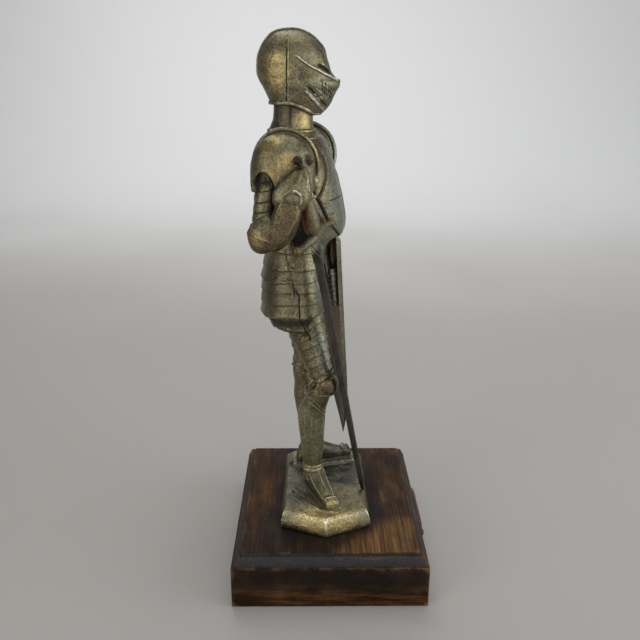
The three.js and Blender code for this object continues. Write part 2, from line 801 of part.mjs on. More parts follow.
// Plaque: a thin plate with scrolled ends, pinned to the plinth's front
function plaque() {
  const [half, rise] = [plaque_length / 2, plaque_height / 2];
  const shape = new THREE.Shape();
  shape.moveTo(-half, -rise * 0.55);
  shape.quadraticCurveTo(-half * 0.8, -rise, -half * 0.55, -rise);
  shape.lineTo(half * 0.55, -rise);
  shape.quadraticCurveTo(half * 0.8, -rise, half, -rise * 0.55);
  shape.lineTo(half, rise * 0.55);
  shape.quadraticCurveTo(half * 0.8, rise, half * 0.55, rise);
  shape.lineTo(-half * 0.55, rise);
  shape.quadraticCurveTo(-half * 0.8, rise, -half, rise * 0.55);
  shape.closePath();
  const form = new THREE.ExtrudeGeometry(shape, {
    depth: plaque_thickness,
    bevelEnabled: false,
    curveSegments: 3,
  });
  form.rotateX(Math.PI / 2);
  form.translate(0, -plinth_width / 2 - clearance, plaque_middle);
  const knobs = [-1, 1].map((side) => {
    const knob = new THREE.SphereGeometry(plaque_knob_radius, 8, 6);
    knob.scale(1, 0.8, 1.3);
    const front = -plinth_width / 2 - clearance - plaque_thickness;
    knob.translate(side * (half - plaque_knob_inset), front, plaque_middle);
    return solid(knob);
  });
  return join([solid(form), ...knobs]);
}

function finish(colour, roughness, metalness) {
  return new THREE.MeshStandardMaterial({ color: colour, roughness, metalness });
}

const old_brass = finish("#6e644b", 0.45, 0.85);
const dark_gunmetal = finish("#37342f", 0.5, 0.8);
const brown_gunmetal = finish("#4a382c", 0.55, 0.6);
const stained_wood = finish("#3f2a1f", 0.6, 0);
const dark_red_metal = finish("#330d0a", 0.5, 0.4);

const part = new THREE.Group();

function add(name, made, material, lift = 0) {
  const mesh = new THREE.Mesh(geometryOf(made), material);
  mesh.name = name;
  mesh.position.z = lift;
  part.add(mesh);
}

add("knight_and_cast_base", knight(), old_brass);
add("greatsword", sword(0), dark_gunmetal, ground);
add("shield", shield(0), brown_gunmetal, ground);
add("wooden_plinth", plinth(), stained_wood);
add("plaque", plaque(), dark_red_metal);

export default part;
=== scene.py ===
import math

import bmesh
import bpy
from mathutils import Euler, Matrix, Vector, noise


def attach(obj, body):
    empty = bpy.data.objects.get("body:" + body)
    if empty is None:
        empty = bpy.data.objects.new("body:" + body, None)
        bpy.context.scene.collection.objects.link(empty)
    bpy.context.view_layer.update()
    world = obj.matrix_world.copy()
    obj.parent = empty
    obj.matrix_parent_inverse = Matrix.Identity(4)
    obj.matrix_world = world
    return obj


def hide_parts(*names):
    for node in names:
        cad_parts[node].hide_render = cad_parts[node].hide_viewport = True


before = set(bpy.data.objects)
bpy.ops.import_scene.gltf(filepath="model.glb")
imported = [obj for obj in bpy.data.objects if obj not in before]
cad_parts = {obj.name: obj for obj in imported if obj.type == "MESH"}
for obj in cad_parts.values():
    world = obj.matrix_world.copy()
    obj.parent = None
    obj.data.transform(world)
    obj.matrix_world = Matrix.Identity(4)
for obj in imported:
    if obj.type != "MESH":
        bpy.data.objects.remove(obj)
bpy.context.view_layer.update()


# Wooden plinth: one block of stained hardwood, sawn on its sides, with a hollow
# moulding cut round a raised top panel. The cast ground is fixed on top of it.
# Forms are drawn in millimetres and brought to metres when they are settled.

class Tone:
    """A value on a surface that can be reckoned with like a number."""

    def __init__(self, finish, socket):
        self.finish, self.socket = finish, socket

    def math(self, operation, first, second):
        return self.finish.node("ShaderNodeMath", {"operation": operation}, {0: first, 1: second})

    def __add__(self, other):
        return self.math("ADD", self, other)

    def __sub__(self, other):
        return self.math("SUBTRACT", self, other)

    def __rsub__(self, other):
        return self.math("SUBTRACT", other, self)

    def __mul__(self, other):
        return self.math("MULTIPLY", self, other)

    __radd__, __rmul__ = __add__, __mul__

    def over(self, other):
        """The larger of two values."""
        return self.math("MAXIMUM", self, other)


class Finish:
    """A material, with its nodes added one call at a time."""

    def __init__(self, name):
        self.material = bpy.data.materials.new(name)
        self.material.use_nodes = True
        self.tree = self.material.node_tree
        self.tree.nodes.clear()
        self.place = self.node("ShaderNodeTexCoord", output="Object")

    def node(self, kind, settings={}, inputs={}, output=0):
        node = self.tree.nodes.new(kind)
        for key, value in settings.items():
            if key == "stops":
                ramp = node.color_ramp
                for at, shade in value[1:-1]:
                    ramp.elements.new(at)
                for element, (at, shade) in zip(ramp.elements, value):
                    element.position, element.color = at, (*shade, 1)
            else:
                setattr(node, key, value)
        for key, value in inputs.items():
            if isinstance(value, Tone):
                self.tree.links.new(value.socket, node.inputs[key])
            else:
                node.inputs[key].default_value = value
        return Tone(self, node.outputs[output])

    def grain(self, size, detail=3, stretch=(1, 1, 1), rough=0.55, shift=0.0):
        """Cloudy variation whose lumps are about this many millimetres across."""
        scaled = self.node("ShaderNodeMapping", {}, {
            "Vector": self.place, "Scale": stretch, "Location": (shift, shift, shift)})
        return self.node("ShaderNodeTexNoise", {}, {
            "Vector": scaled, "Scale": 1000 / size, "Detail": detail, "Roughness": rough})

    def ramp(self, tone, low, high, start=0.0, end=1.0):
        """Brings a value between two bounds to a share, softly."""
        return self.node("ShaderNodeMapRange", {"interpolation_type": "SMOOTHSTEP"}, {
            "Value": tone, "From Min": low, "From Max": high, "To Min": start, "To Max": end})

    def mix(self, share, first, second, blend="MIX"):
        first, second = (value if isinstance(value, Tone) else (*value, 1) for value in (first, second))
        return self.node("ShaderNodeMix", {"data_type": "RGBA", "blend_type": blend}, {
            0: share, 6: first, 7: second}, output=2)

    def along(self, axis):
        """The place on the piece along one axis, in metres."""
        return self.node("ShaderNodeSeparateXYZ", {}, {0: self.place}, output=axis)

    def facing(self, axis):
        """How squarely the surface faces along one axis."""
        way = self.node("ShaderNodeNewGeometry", output="Normal")
        return self.node("ShaderNodeSeparateXYZ", {}, {0: way}, output=axis)

    def sharpness(self):
        """Above one half on edges that stand out, below it in hollows."""
        return self.node("ShaderNodeNewGeometry", output="Pointiness")

    def away(self, middle, stretch=(1, 1, 1)):
        """The distance from a middle, once the three ways are stretched."""
        place = self.node("ShaderNodeMapping", {}, {
            "Vector": self.place, "Location": [-value for value in middle], "Scale": stretch})
        return self.node("ShaderNodeVectorMath", {"operation": "LENGTH"}, {0: place}, output="Value")

    def shade(self, colour, rough, metallic, bumps, specular=0.5):
        """Closes the material: bumps are pairs of a height and its depth in millimetres."""
        inputs = {"Base Color": colour, "Roughness": rough, "Metallic": metallic,
                  "Specular IOR Level": specular}
        for height, depth in bumps:
            bump = {"Height": height, "Strength": 1.0, "Distance": depth / 1000}
            if "Normal" in inputs:
                bump["Normal"] = inputs["Normal"]
            inputs["Normal"] = self.node("ShaderNodeBump", {}, bump)
        shader = self.node("ShaderNodeBsdfPrincipled", {}, inputs)
        output = self.tree.nodes.new("ShaderNodeOutputMaterial")
        self.tree.links.new(shader.socket, output.inputs["Surface"])
        return self.material


def end_form(form, name):
    """Ends a drawn form as a mesh."""
    mesh = bpy.data.meshes.new(name)
    form.to_mesh(mesh)
    form.free()
    return mesh


def set_down(mesh, name):
    """Puts a mesh into the scene."""
    piece = bpy.data.objects.new(name, mesh)
    bpy.context.scene.collection.objects.link(piece)
    return piece


def settle(form, name, finish, lift=0.0, crease=42):
    """Turns a drawn form into a piece in metres, sharp at its creases."""
    settled = Matrix.Scale(0.001, 4) @ Matrix.Translation((0, 0, lift))
    bmesh.ops.transform(form, matrix=settled, verts=form.verts)
    mesh = end_form(form, name)
    mesh.polygons.foreach_set("use_smooth", [True] * len(mesh.polygons))
    mesh.set_sharp_from_angle(angle=math.radians(crease))
    mesh.materials.append(finish)
    return set_down(mesh, name)


def move(form, way, points=None):
    bmesh.ops.translate(form, vec=way, verts=points or form.verts)


def stretch(form, ways, points=None):
    bmesh.ops.scale(form, vec=ways, verts=points or form.verts)


def slit(form, parts, spot, way, **rest):
    """Cuts parts of a form along a plane."""
    return bmesh.ops.bisect_plane(form, geom=parts, dist=1e-4, plane_co=spot, plane_no=way, **rest)


def everything(form):
    return form.verts[:] + form.edges[:] + form.faces[:]


def slice_evenly(form, way, low, high, pitch):
    """Cuts a form across at even steps, so that it has points to wear away."""
    for k in range(1, round((high - low) / pitch)):
        slit(form, everything(form), Vector(way) * (low + k * pitch), way)


def round_over(form, edges, offset, segments):
    bmesh.ops.bevel(form, geom=edges, offset=offset, segments=segments, affect="EDGES", profile=0.5,
                    material=-1, clamp_overlap=True)


def lumps(place, size):
    """Smooth unevenness in lumps of about this many millimetres."""
    return noise.noise(Vector(place) / size)


plinth_length, plinth_width = 140, 120
block_height, panel_step, plinth_height = 27.6, 1.8, 34.7
moulding_inset, ledge, moulding_steps = 4.4, 1, 8
hollow_height = plinth_height - block_height - panel_step
panel_inset = moulding_inset + ledge
plinth_levels = [(ledge, block_height)]
for k in range(1, moulding_steps + 1):
    bend = math.radians(90 * k / moulding_steps)
    drawn_in = ledge + (moulding_inset - ledge) * (1 - math.cos(bend))
    plinth_levels.append((drawn_in, block_height + hollow_height * math.sin(bend)))
plinth_levels += [(panel_inset, plinth_height - panel_step), (panel_inset, plinth_height)]

plinth = bmesh.new()
bmesh.ops.create_cube(plinth, size=1)
stretch(plinth, (plinth_length, plinth_width, block_height))
move(plinth, (0, 0, block_height / 2))
top = max(plinth.faces, key=lambda face: face.calc_center_median().z)
for inset, high in plinth_levels:
    top = bmesh.ops.extrude_discrete_faces(plinth, faces=[top])["faces"][0]
    for corner in top.verts:
        corner.co = (math.copysign(plinth_length / 2 - inset, corner.co.x),
                     math.copysign(plinth_width / 2 - inset, corner.co.y), high)
bmesh.ops.remove_doubles(plinth, verts=plinth.verts, dist=1e-4)
plinth.normal_update()
round_over(plinth, [edge for edge in plinth.edges if edge.calc_face_angle(0) > math.radians(28)], 0.4, 2)
slice_evenly(plinth, (1, 0, 0), -plinth_length / 2, plinth_length / 2, 2.5)
slice_evenly(plinth, (0, 1, 0), -plinth_width / 2, plinth_width / 2, 2.5)
slice_evenly(plinth, (0, 0, 1), 0, block_height, 3.5)
plinth.normal_update()
for point in plinth.verts:
    at_edge = min(1.0, (1 - max(abs(share) for share in point.normal)) * 4)
    rubbed = max(0.0, lumps(point.co, 6) + 0.25) * 0.45 + max(0.0, lumps(point.co, 1.9)) * 0.25
    point.co -= point.normal * (rubbed * at_edge + 0.05 * lumps(point.co, 9)) * (point.co.z > 1)

wood = Finish("stained_wood")
up = wood.along("Z")
end_face = wood.facing("X")
end_face = wood.ramp(end_face * end_face, 0.5, 0.85)
top_face = wood.ramp(wood.facing("Z"), 0.6, 0.95)
fibres = wood.grain(3.2, 5, (0.05, 1, 1), 0.62)
fine_fibres = wood.grain(0.9, 3, (0.03, 1, 1), 0.6)
end_streaks = wood.grain(3, 4, (1, 0.09, 1), 0.62)
streaks = wood.mix(end_face, fibres * 0.6 + fine_fibres * 0.4, end_streaks)
stain = wood.grain(38, 4, (0.7, 1, 1))
blotches = wood.grain(9, 4, (0.5, 1, 1), 0.6)
uneven = blotches - 0.5
body = wood.node("ShaderNodeValToRGB", {"stops": [
    (0.36, (0.005, 0.0035, 0.0028)), (0.46, (0.022, 0.0115, 0.006)),
    (0.55, (0.06, 0.029, 0.0125)), (0.68, (0.17, 0.078, 0.027))]}, {
    0: stain * 0.56 + streaks * 0.2 + blotches * 0.26})


def patch(x, y, radius):
    """A soft patch on the top round a place, seen from above: darker patches and painted highlights."""
    off = wood.away((x / radius, y / radius, 0), (1000 / radius, 1000 / radius, 0))
    return wood.ramp(off + uneven * 1.1, 0.4, 1.15, 1, 0)


# the wood is darker round the casting, on the upper half of the ends and in some patches;
# the hollow moulding has a pale grey painted sheen
round_casting = wood.ramp(wood.away((0, 0.0024, 0), (15.5, 27, 0)) + uneven * 0.35, 0.8, 1.06, 1, 0)
hollow_sheen = (wood.ramp(up + uneven * 0.002, (block_height - 0.4) / 1000, (block_height + 0.4) / 1000)
             * (1 - wood.ramp(up, (plinth_height - 0.5) / 1000, (plinth_height - 0.1) / 1000)))
end_top = wood.ramp(up + uneven * 0.012, 0.010, 0.019) * end_face
dark = (round_casting * top_face * 0.85).over(hollow_sheen * 0.86).over(end_top * 0.8)
for x, y, radius, strength in ((-56, 44, 24, 0.55), (34, -46, 34, 0.6), (34, 48, 30, 0.35)):
    dark = dark.over(patch(x, y, radius) * top_face * strength)
# painted highlight: pools of lighter streaky orange on the top near the front end
highlight_wood = wood.mix(wood.ramp(streaks, 0.36, 0.64), (0.07, 0.033, 0.011), (0.25, 0.13, 0.046))
painted_highlight = patch(-58, -26, 26).over(patch(-40, -47, 15) * 0.7)
body = wood.mix(painted_highlight * top_face * 0.62, body, highlight_wood)
low_end = wood.ramp(up + uneven * 0.014, 0.006, 0.014, 1, 0) * end_face
bare_end = wood.mix(wood.ramp(streaks, 0.42, 0.58), (0.018, 0.0075, 0.002), (0.085, 0.035, 0.0075))
body = wood.mix(low_end * 0.65, body, bare_end)
# near-black where the wood is darker, and a pale grey painted sheen on the hollow moulding
body = wood.mix(dark, body, wood.mix(hollow_sheen, (0.009, 0.0075, 0.0068), (0.036, 0.035, 0.036)))
body = wood.mix(0.5, body, wood.ramp(fine_fibres, 0.36, 0.64, 0.55, 1.35), "MULTIPLY")
edge_wear = wood.ramp(wood.sharpness(), 0.515, 0.56) * wood.ramp(blotches, 0.42, 0.6)
body = wood.mix(edge_wear * 0.75, body, (0.17, 0.085, 0.038))
saw = wood.node("ShaderNodeTexWave", {"wave_type": "BANDS", "bands_direction": "DIAGONAL"}, {
    "Vector": wood.place, "Scale": 330, "Distortion": 2.5, "Detail": 2, "Detail Scale": 1.5})
stained_wood = wood.shade(body, wood.ramp(stain, 0.35, 0.7, 0.5, 0.68), 0.0,
                          [(fibres, 0.22), (fine_fibres, 0.14), (saw * end_face * (1 - hollow_sheen), 0.12),
                           (blotches, 0.3)], specular=0.09)

stained_plinth = settle(plinth, "stained_plinth", stained_wood, crease=35)
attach(stained_plinth, "root")
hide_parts("wooden_plinth")


# Plaque: a thin dark red metal plate with drawn-in ends, held to the plinth's
# long front side by two domed pins. Its face has rows of shallow strokes.

def rotate(form, degrees, axis):
    """Turns a form about one axis of the piece."""
    turned = Matrix.Rotation(math.radians(degrees), 3, axis)
    bmesh.ops.rotate(form, cent=(0, 0, 0), matrix=turned, verts=form.verts)


def open_edges(form):
    return [edge for edge in form.edges if edge.is_boundary]


def draw_out(form, edges):
    """Draws edges out into a wall, and gives the points and edges at its far end."""
    made = bmesh.ops.extrude_edge_only(form, edges=edges)["geom"]
    ring = {part for part in made if isinstance(part, bmesh.types.BMVert)}
    return ring, [part for part in made if isinstance(part, bmesh.types.BMEdge) and set(part.verts) <= ring]


def face_out(form):
    """Turns the faces of a closed form outwards."""
    bmesh.ops.recalc_face_normals(form, faces=form.faces)
    form.normal_update()


plaque_half, plaque_rise, plaque_thick, plaque_middle = 27, 7.5, 1.6, 18.4
plaque_front = -plinth_width / 2 - 0.3 - plaque_thick
straight_share, end_draw = 0.55, 0.45
pin_spread, pin_radius = 21, 2.2
border_wide, border_high = 1.4, 0.35
row_pitch, row_half_length, stroke_high = 3.1, 16.5, 0.28


def half_rise(share):
    """Half the plate's height, this share of the way to its ends."""
    drawn = max(0.0, abs(share) - straight_share) / (1 - straight_share)
    return plaque_rise * (1 - end_draw * drawn ** 1.7)


plaque = bmesh.new()
bmesh.ops.create_grid(plaque, x_segments=108, y_segments=30, size=1)
rotate(plaque, 90, "X")
for point in plaque.verts:
    point.co = (point.co.x * plaque_half, 0, point.co.z * half_rise(point.co.x))
wall, wall_edges = draw_out(plaque, open_edges(plaque))
move(plaque, (0, plaque_thick, 0), list(wall))
bmesh.ops.contextual_create(plaque, geom=wall_edges)
face_out(plaque)
for point in plaque.verts:
    if point.co.y < 0.1:
        x, level = point.co.x, point.co.z
        edge_gap = min(plaque_half - abs(x), half_rise(x / plaque_half) - abs(level))
        row = round(level / row_pitch)
        in_row = abs(level - row * row_pitch) < 1.1 - 0.5 * abs(math.sin(x * 2.3))
        stroke = in_row and abs(row) < 2 and abs(x) < row_half_length and math.sin(x * 4.4 + row) > 0.2
        point.co.y += border_high * (edge_gap > border_wide) - stroke_high * stroke
        point.co.y += 0.12 * lumps(point.co, 2.6)
for side in (-1, 1):
    dome = bmesh.ops.create_uvsphere(plaque, u_segments=24, v_segments=14, radius=1)["verts"]
    stretch(plaque, (pin_radius, pin_radius * 0.8, pin_radius * 1.3), dome)
    move(plaque, (side * pin_spread, 0, 0), dome)
move(plaque, (0, plaque_front, plaque_middle))

red = Finish("dark_red_metal")
chips = red.grain(1.6, 4)
cloud = red.grain(7, 4)
painted = red.mix(red.ramp(cloud, 0.35, 0.65), (0.035, 0.0035, 0.0025), (0.075, 0.012, 0.006))
painted = red.mix(red.ramp(chips, 0.62, 0.72), painted, (0.12, 0.05, 0.025))
dark_red = red.shade(painted, red.ramp(cloud, 0.3, 0.7, 0.32, 0.55), red.ramp(chips, 0.55, 0.75, 0.15, 0.8), [
    (cloud, 0.25), (chips, 0.12)])

red_plaque = settle(plaque, "red_plaque", dark_red)
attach(red_plaque, "root")
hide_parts("plaque")


# Cast ground: the six-sided foot of the casting, with pointed ends and rounded
# sides. Swells of earth carry the feet, and ridges run round them.
# From here heights are above this ground, and the knight looks along -Y.

def smooth_step(low, high, value):
    share = min(1.0, max(0.0, (value - low) / (high - low)))
    return share * share * (3 - 2 * share)


def swell(off, reach):
    """A soft bump: 1 in its middle, and almost nothing two reaches away."""
    return math.exp(-(off / reach) ** 2)


def line_gap(point, line):
    """How far a point is from a bent line, on which side of it, and how far along it."""
    found = (1e9, 0.0, 0.0)
    for k, (start, end) in enumerate(zip(line, line[1:])):
        way = Vector(end) - Vector(start)
        share = min(1.0, max(0.0, (point - Vector(start)).dot(way) / way.length_squared))
        off = point - (Vector(start) + way * share)
        if off.length < found[0]:
            found = (off.length, way.x * off.y - way.y * off.x, (k + share) / (len(line) - 1))
    return found


def slit_near(form, near, spot, way, shifts):
    """Cuts the faces near a line along planes a little to each side of it."""
    parts = list({part for face in near for part in (*face.verts, *face.edges)} | set(near))
    for shift in shifts:
        if parts:
            parts = slit(form, parts, spot + way * shift, way)["geom"]


ground = 46.8
base_length, base_width, base_height = 100, 57, 11.8
base_point, base_top_inset, base_setback = 11.5, 3.2, 2.4
top_half, top_wide = base_length / 2 - base_top_inset * 1.2, base_width / 2 - base_top_inset
end_start = top_half - base_point
base_outline = [(top_half, 0), (end_start, top_wide), (-end_start, top_wide),
                (-top_half, 0), (-end_start, -top_wide), (end_start, -top_wide)]
side_levels = [(0.875, 0.935), (0.75, 0.85), (0.625, 0.735), (0.5, 0.6), (0.375, 0.475), (0.25, 0.35),
               (0.12, 0.23), (0, 0.12), (0.15, 0.05), (0.4, 0)]
foot_ridge = [(-14, 24.6), (-17.9, 23.5), (-23.1, 21), (-28.1, 17.4), (-32, 14.2), (-34.9, 11.5),
              (-38.8, 6.9), (-40.6, 2.6), (-40.9, -2)]
bank_line = [(-1, 3), (-3.5, -1), (-7, -6.9), (-11.5, -15.8), (-14.9, -21.1), (-17, -26)]
terrace_line = [(21, 29), (15.5, 23), (13.8, 15), (15.6, 5), (18, -3.9), (21, -13.7), (24, -20), (30, -22.5),
                (38, -22)]
ground_pits = [((4.7, 25.9), 1.2), ((-14.4, -23.6), 2.2)]

cast_base = bmesh.new()
share_of = cast_base.verts.layers.float_vector.new("share")
ground_wear_and_light = cast_base.verts.layers.float.new("wear")
bmesh.ops.create_grid(cast_base, x_segments=108, y_segments=62, size=0.5)
stretch(cast_base, (base_length, base_width, 1))
for (x1, y1), (x2, y2) in zip(base_outline, base_outline[1:] + base_outline[:1]):
    slit(cast_base, everything(cast_base), (x1, y1, 0), (y2 - y1, x1 - x2, 0), clear_outer=True)
rim = open_edges(cast_base)
for point in {point for edge in rim for point in edge.verts}:
    sideways = min(1.0, abs(point.co.y) / top_wide)
    at_end = abs(point.co.x) > end_start - 1e-3 and sideways < 0.9999
    point[share_of] = (point.co.x / end_start, math.copysign(sideways, point.co.y), float(at_end))
for share, high in side_levels:
    inset = base_top_inset * (1 - math.cos(math.radians(90 * share)))
    half, wide = base_length / 2 - inset * 1.2, base_width / 2 - inset
    ring, rim = draw_out(cast_base, rim)
    for point in ring:
        lengthwise, sideways, at_end = point[share_of]
        if at_end > 0.5:
            x = math.copysign(half - base_point * abs(sideways), lengthwise)
            rubbed = 0.85 * max(0.0, 1 - abs(sideways) * 15)
        else:
            x = lengthwise * (half - base_point)
            rubbed = 0.75 * (abs(lengthwise) > 0.985)
        point.co = (x, sideways * wide, (high - 1) * base_height)
        # rounded sides: a painted highlight in a band just below the top; the point of each end and the
        # corners are rubbed bright
        point[ground_wear_and_light] = 0.45 * swell(share - 0.8, 0.16) + rubbed
bmesh.ops.contextual_create(cast_base, geom=rim)
move(cast_base, (0, base_setback, 0))

for line, shifts in ((foot_ridge, (-0.55, 0, 0.55)), (terrace_line, (-0.5, 0, 0.6))):
    for start, end in zip(line, line[1:]):
        start, end = Vector((*start, 0)), Vector((*end, 0))
        near = [face for face in cast_base.faces if abs(face.calc_center_median().z) < 0.2
                and (face.calc_center_median() - (start + end) / 2).length < (end - start).length / 2 + 1.5]
        slit_near(cast_base, near, start, (end - start).normalized().cross(Vector((0, 0, 1))), shifts)
for point in cast_base.verts:
    if point.co.z > -0.5 and abs(point.co.x) < top_half - 0.4:
        spot, off_middle = Vector((point.co.x, point.co.y)), abs(point.co.y - base_setback)
        end_gap = top_half - abs(point.co.x) - off_middle * base_point / top_wide * 0.98
        inner = max(0.0, min(1.0, (top_wide - off_middle) / 3, end_gap / 3))
        gap, turn, way_along = line_gap(spot, foot_ridge)
        high = 0.75 * swell(gap, 0.6) * smooth_step(0, 0.1, way_along)
        point[ground_wear_and_light] = 0.7 * high
        high += 0.8 * smooth_step(10, 1, gap) * (turn > 0) * smooth_step(0.0, 0.2, way_along)
        gap, turn, way_along = line_gap(spot, bank_line)
        high += 1.3 * smooth_step(-0.8, 0.8, gap if turn < 0 else -gap) * smooth_step(20, 6, gap)
        gap, turn, way_along = line_gap(spot, terrace_line)
        gap = gap if turn > 0 else -gap
        high += 2.1 * smooth_step(-0.5, 0.6, gap)
        # a bright line along the terrace's top edge, and painted shade along the foot of its wall
        point[ground_wear_and_light] += 0.3 * swell(gap - 0.4, 0.5) - 0.6 * swell(gap + 1, 0.8)
        left_mound = math.exp(-((spot.x - 22) ** 2 / 130 + (spot.y - 6) ** 2 / 420))
        high += 1.6 * left_mound * smooth_step(-0.5, 2.5, gap)
        high += 1.2 * math.exp(-((spot.x + 17) ** 2 / 420 + (spot.y - 6) ** 2 / 75))
        high += 0.6 * lumps((*spot, 3), 7.5) + 0.3 * lumps((*spot, 8), 2.6)
        for pit, deep in ground_pits:
            high -= deep * swell((spot - Vector(pit)).length, 0.9)
        point.co.z += high * inner
face_out(cast_base)
for point in cast_base.verts:
    if point.co.z < -0.4:
        point.co += point.normal * 0.16 * lumps(point.co, 5)


# Legs: part of the casting. Thighs of overlapping lames, domed knees with side
# wings, plain greaves with an ankle cuff, and steel shoes on flat soles.

def flow(rows, steps):
    """Fills in between the rows of a form on smooth curves that don't overshoot."""
    gaps = [max(math.dist(a[:3], b[:3]), 0.05) for a, b in zip(rows, rows[1:])]
    slopes = [[(q - p) / gap for p, q in zip(a, b)] for a, b, gap in zip(rows, rows[1:], gaps)]

    def bend(i, j):
        before, after = slopes[max(i - 1, 0)][j], slopes[min(i, len(slopes) - 1)][j]
        return 0 if before * after <= 0 else 2 * before * after / (before + after)

    filled = []
    for i, gap in enumerate(gaps):
        for k in range(steps):
            t = k / steps
            filled.append([
                p * (1 + 2 * t) * (1 - t) ** 2 + q * t * t * (3 - 2 * t)
                + gap * (bend(i, j) * t * (1 - t) ** 2 - bend(i + 1, j) * t * t * (1 - t))
                for j, (p, q) in enumerate(zip(rows[i], rows[i + 1]))])
    return filled + [list(rows[-1])]


def oval(spot, wide, deep):
    """A row of a limb: its middle, and its half width and half depth."""
    return [*spot, wide, deep, deep, 2, 2]


def loft(rows, sides, axis=None, facing=(0, -1, 0)):
    """A closed skin through rows of [x, y, z, wide, front, back, front sharpness, back sharpness].
    A ninth value is the wear there: 1 on an edge that is rubbed bright, -1 in a dark groove."""
    form = bmesh.new()
    turn_of = form.verts.layers.float.new("turn")
    wear_of = form.verts.layers.float.new("wear")
    ring = bmesh.ops.create_circle(form, segments=sides, radius=1)["verts"]
    for point in ring:
        point[turn_of] = math.atan2(point.co.x, point.co.y)
    edges = first = form.edges[:]
    for k, (x, y, z, wide, front, back, sharp, hind, *wear) in enumerate(rows):
        if k:
            ring, edges = draw_out(form, edges)
        before, after = rows[max(k - 1, 0)], rows[min(k + 1, len(rows) - 1)]
        level = Vector(axis) if axis else (Vector(after[:3]) - Vector(before[:3])).normalized()
        ahead = (Vector(facing) - level * Vector(facing).dot(level)).normalized()
        side = level.cross(ahead)
        for point in ring:
            sine, cosine = math.sin(point[turn_of]), math.cos(point[turn_of])
            power = 2 / (sharp if cosine > 0 else hind)
            out = math.copysign(abs(sine) ** power, sine) * wide
            fore = math.copysign(abs(cosine) ** power, cosine) * (front if cosine > 0 else back)
            point.co = Vector((x, y, z)) + side * out + ahead * fore
            point[wear_of] = wear[0] if wear else 0.0
    bmesh.ops.contextual_create(form, geom=first)
    bmesh.ops.contextual_create(form, geom=edges)
    face_out(form)
    return form


def lamed(start, end, edges, flare, shine=0.3):
    """Rows of a limb of lames: each flares to a rounded lower edge and steps in under the next."""
    profile = [(0, -0.25, -0.55), (0.1, 0.0, -0.15), (0.3, 0.15, 0), (0.55, 0.4, 0), (0.8, 0.75, 0.3 * shine),
               (0.92, 1.0, shine), (0.98, 0.85, shine), (0.999, 0.1, -0.5)]
    made = []
    for high, low in zip(edges, edges[1:]):
        for share, out, wear in profile:
            at = high + (low - high) * share
            row = [a + (b - a) * at for a, b in zip(start, end)]
            row[3:6] = [half + out * flare for half in row[3:6]]
            made.append(row + [wear])
    return made


def egg(spot, radii, turn=(0, 0, 0), sides=(36, 22)):
    """A rounded cap with three radii, turned by degrees about the axes."""
    form = bmesh.new()
    form.verts.layers.float.new("wear")
    bmesh.ops.create_uvsphere(form, u_segments=sides[0], v_segments=sides[1], radius=1)
    turned = Euler([math.radians(angle) for angle in turn]).to_matrix().to_4x4()
    placed = Matrix.Translation(spot) @ turned @ Matrix.Diagonal((*radii, 1))
    bmesh.ops.transform(form, matrix=placed, verts=form.verts)
    form.normal_update()
    return form


def chase(form, line, view, wide, high, reach=3.0, ends=0.12, shine=0.55):
    """Works a raised line, or a groove where high is below 0, into a skin along a bent line.
    view is the way from which the line is seen; the skin within reach of it is cut and moved."""
    view = Vector(view).normalized()
    line = [Vector(spot) for spot in line]
    for start, end in zip(line, line[1:]):
        cut_way = (end - start).cross(view).normalized()
        middle, half = (start + end) / 2, (end - start).length / 2
        near = []
        for face in form.faces:
            if face.normal.dot(view) > 0.02:
                off = face.calc_center_median() - middle
                if off.length < half + reach and abs(off.dot(cut_way)) < reach:
                    near.append(face)
        slit_near(form, near, middle, cut_way, [wide * shift for shift in (-0.5, -0.17, 0.17, 0.5)])
    form.normal_update()
    moves = []
    for point in form.verts:
        if point.normal.dot(view) > -0.05:
            gap, way_along = 1e9, 0.0
            for k, (start, end) in enumerate(zip(line, line[1:])):
                way = end - start
                share = min(1.0, max(0.0, (point.co - start).dot(way) / way.length_squared))
                off = point.co - (start + way * share)
                if off.length < reach + wide and (off - view * off.dot(view)).length < gap:
                    gap, way_along = (off - view * off.dot(view)).length, (k + share) / (len(line) - 1)
            if gap < wide * 0.5:
                moved = 1 - smooth_step(wide * 0.16, wide * 0.5, gap)
                if ends:
                    moved *= smooth_step(-0.01, ends, way_along) * smooth_step(1.01, 1 - ends, way_along)
                moves.append((point, point.normal * high, moved))
    wear_of = form.verts.layers.float["wear"]
    for point, way, share in moves:
        point.co += way * share
        point[wear_of] = point[wear_of] * (1 - share) + (shine if high > 0 else -1) * share
    form.normal_update()


def press(form, spot, radius, depth, sharp=2.0):
    """Presses a hollow into a skin, or raises a boss where depth is below 0."""
    spot = Vector(spot)
    near = [edge for edge in form.edges if edge.calc_length() > radius * 0.4
            and (sum((end.co for end in edge.verts), Vector()) / 2 - spot).length < radius * 1.5]
    if near:
        bmesh.ops.subdivide_edges(form, edges=near, cuts=2, use_grid_fill=True)
        form.normal_update()
    wear_of = form.verts.layers.float["wear"]
    moves = [(point, point.normal.copy(), math.exp(-((point.co - spot).length / radius) ** sharp))
             for point in form.verts if (point.co - spot).length < radius * 2.2]
    for point, way, share in moves:
        point.co -= way * depth * share
        point[wear_of] = point[wear_of] * (1 - share) - math.copysign(share, depth) * min(1.0, abs(depth))
    form.normal_update()


def join(whole, skin):
    """Adds a skin to a form that is made of several."""
    mesh = end_form(skin, "skin")
    whole.from_mesh(mesh)
    bpy.data.meshes.remove(mesh)


def cast(skin):
    """Adds a skin to the casting, with the slight unevenness of cast metal."""
    skin.normal_update()
    for point in skin.verts:
        rough = 0.16 * lumps(point.co + Vector((29.4, 12.6, 4.2)), 4.2) + 0.05 * lumps(point.co, 1.3)
        point.co += point.normal * rough
    join(knight, skin)


def limb(rows, steps, sides, **rest):
    """Casts a smooth limb through a few rows."""
    cast(loft(flow(rows, steps), sides, **rest))


def shifted(spot, x=0.0, y=0.0, z=0.0):
    return Vector(spot) + Vector((x, y, z))


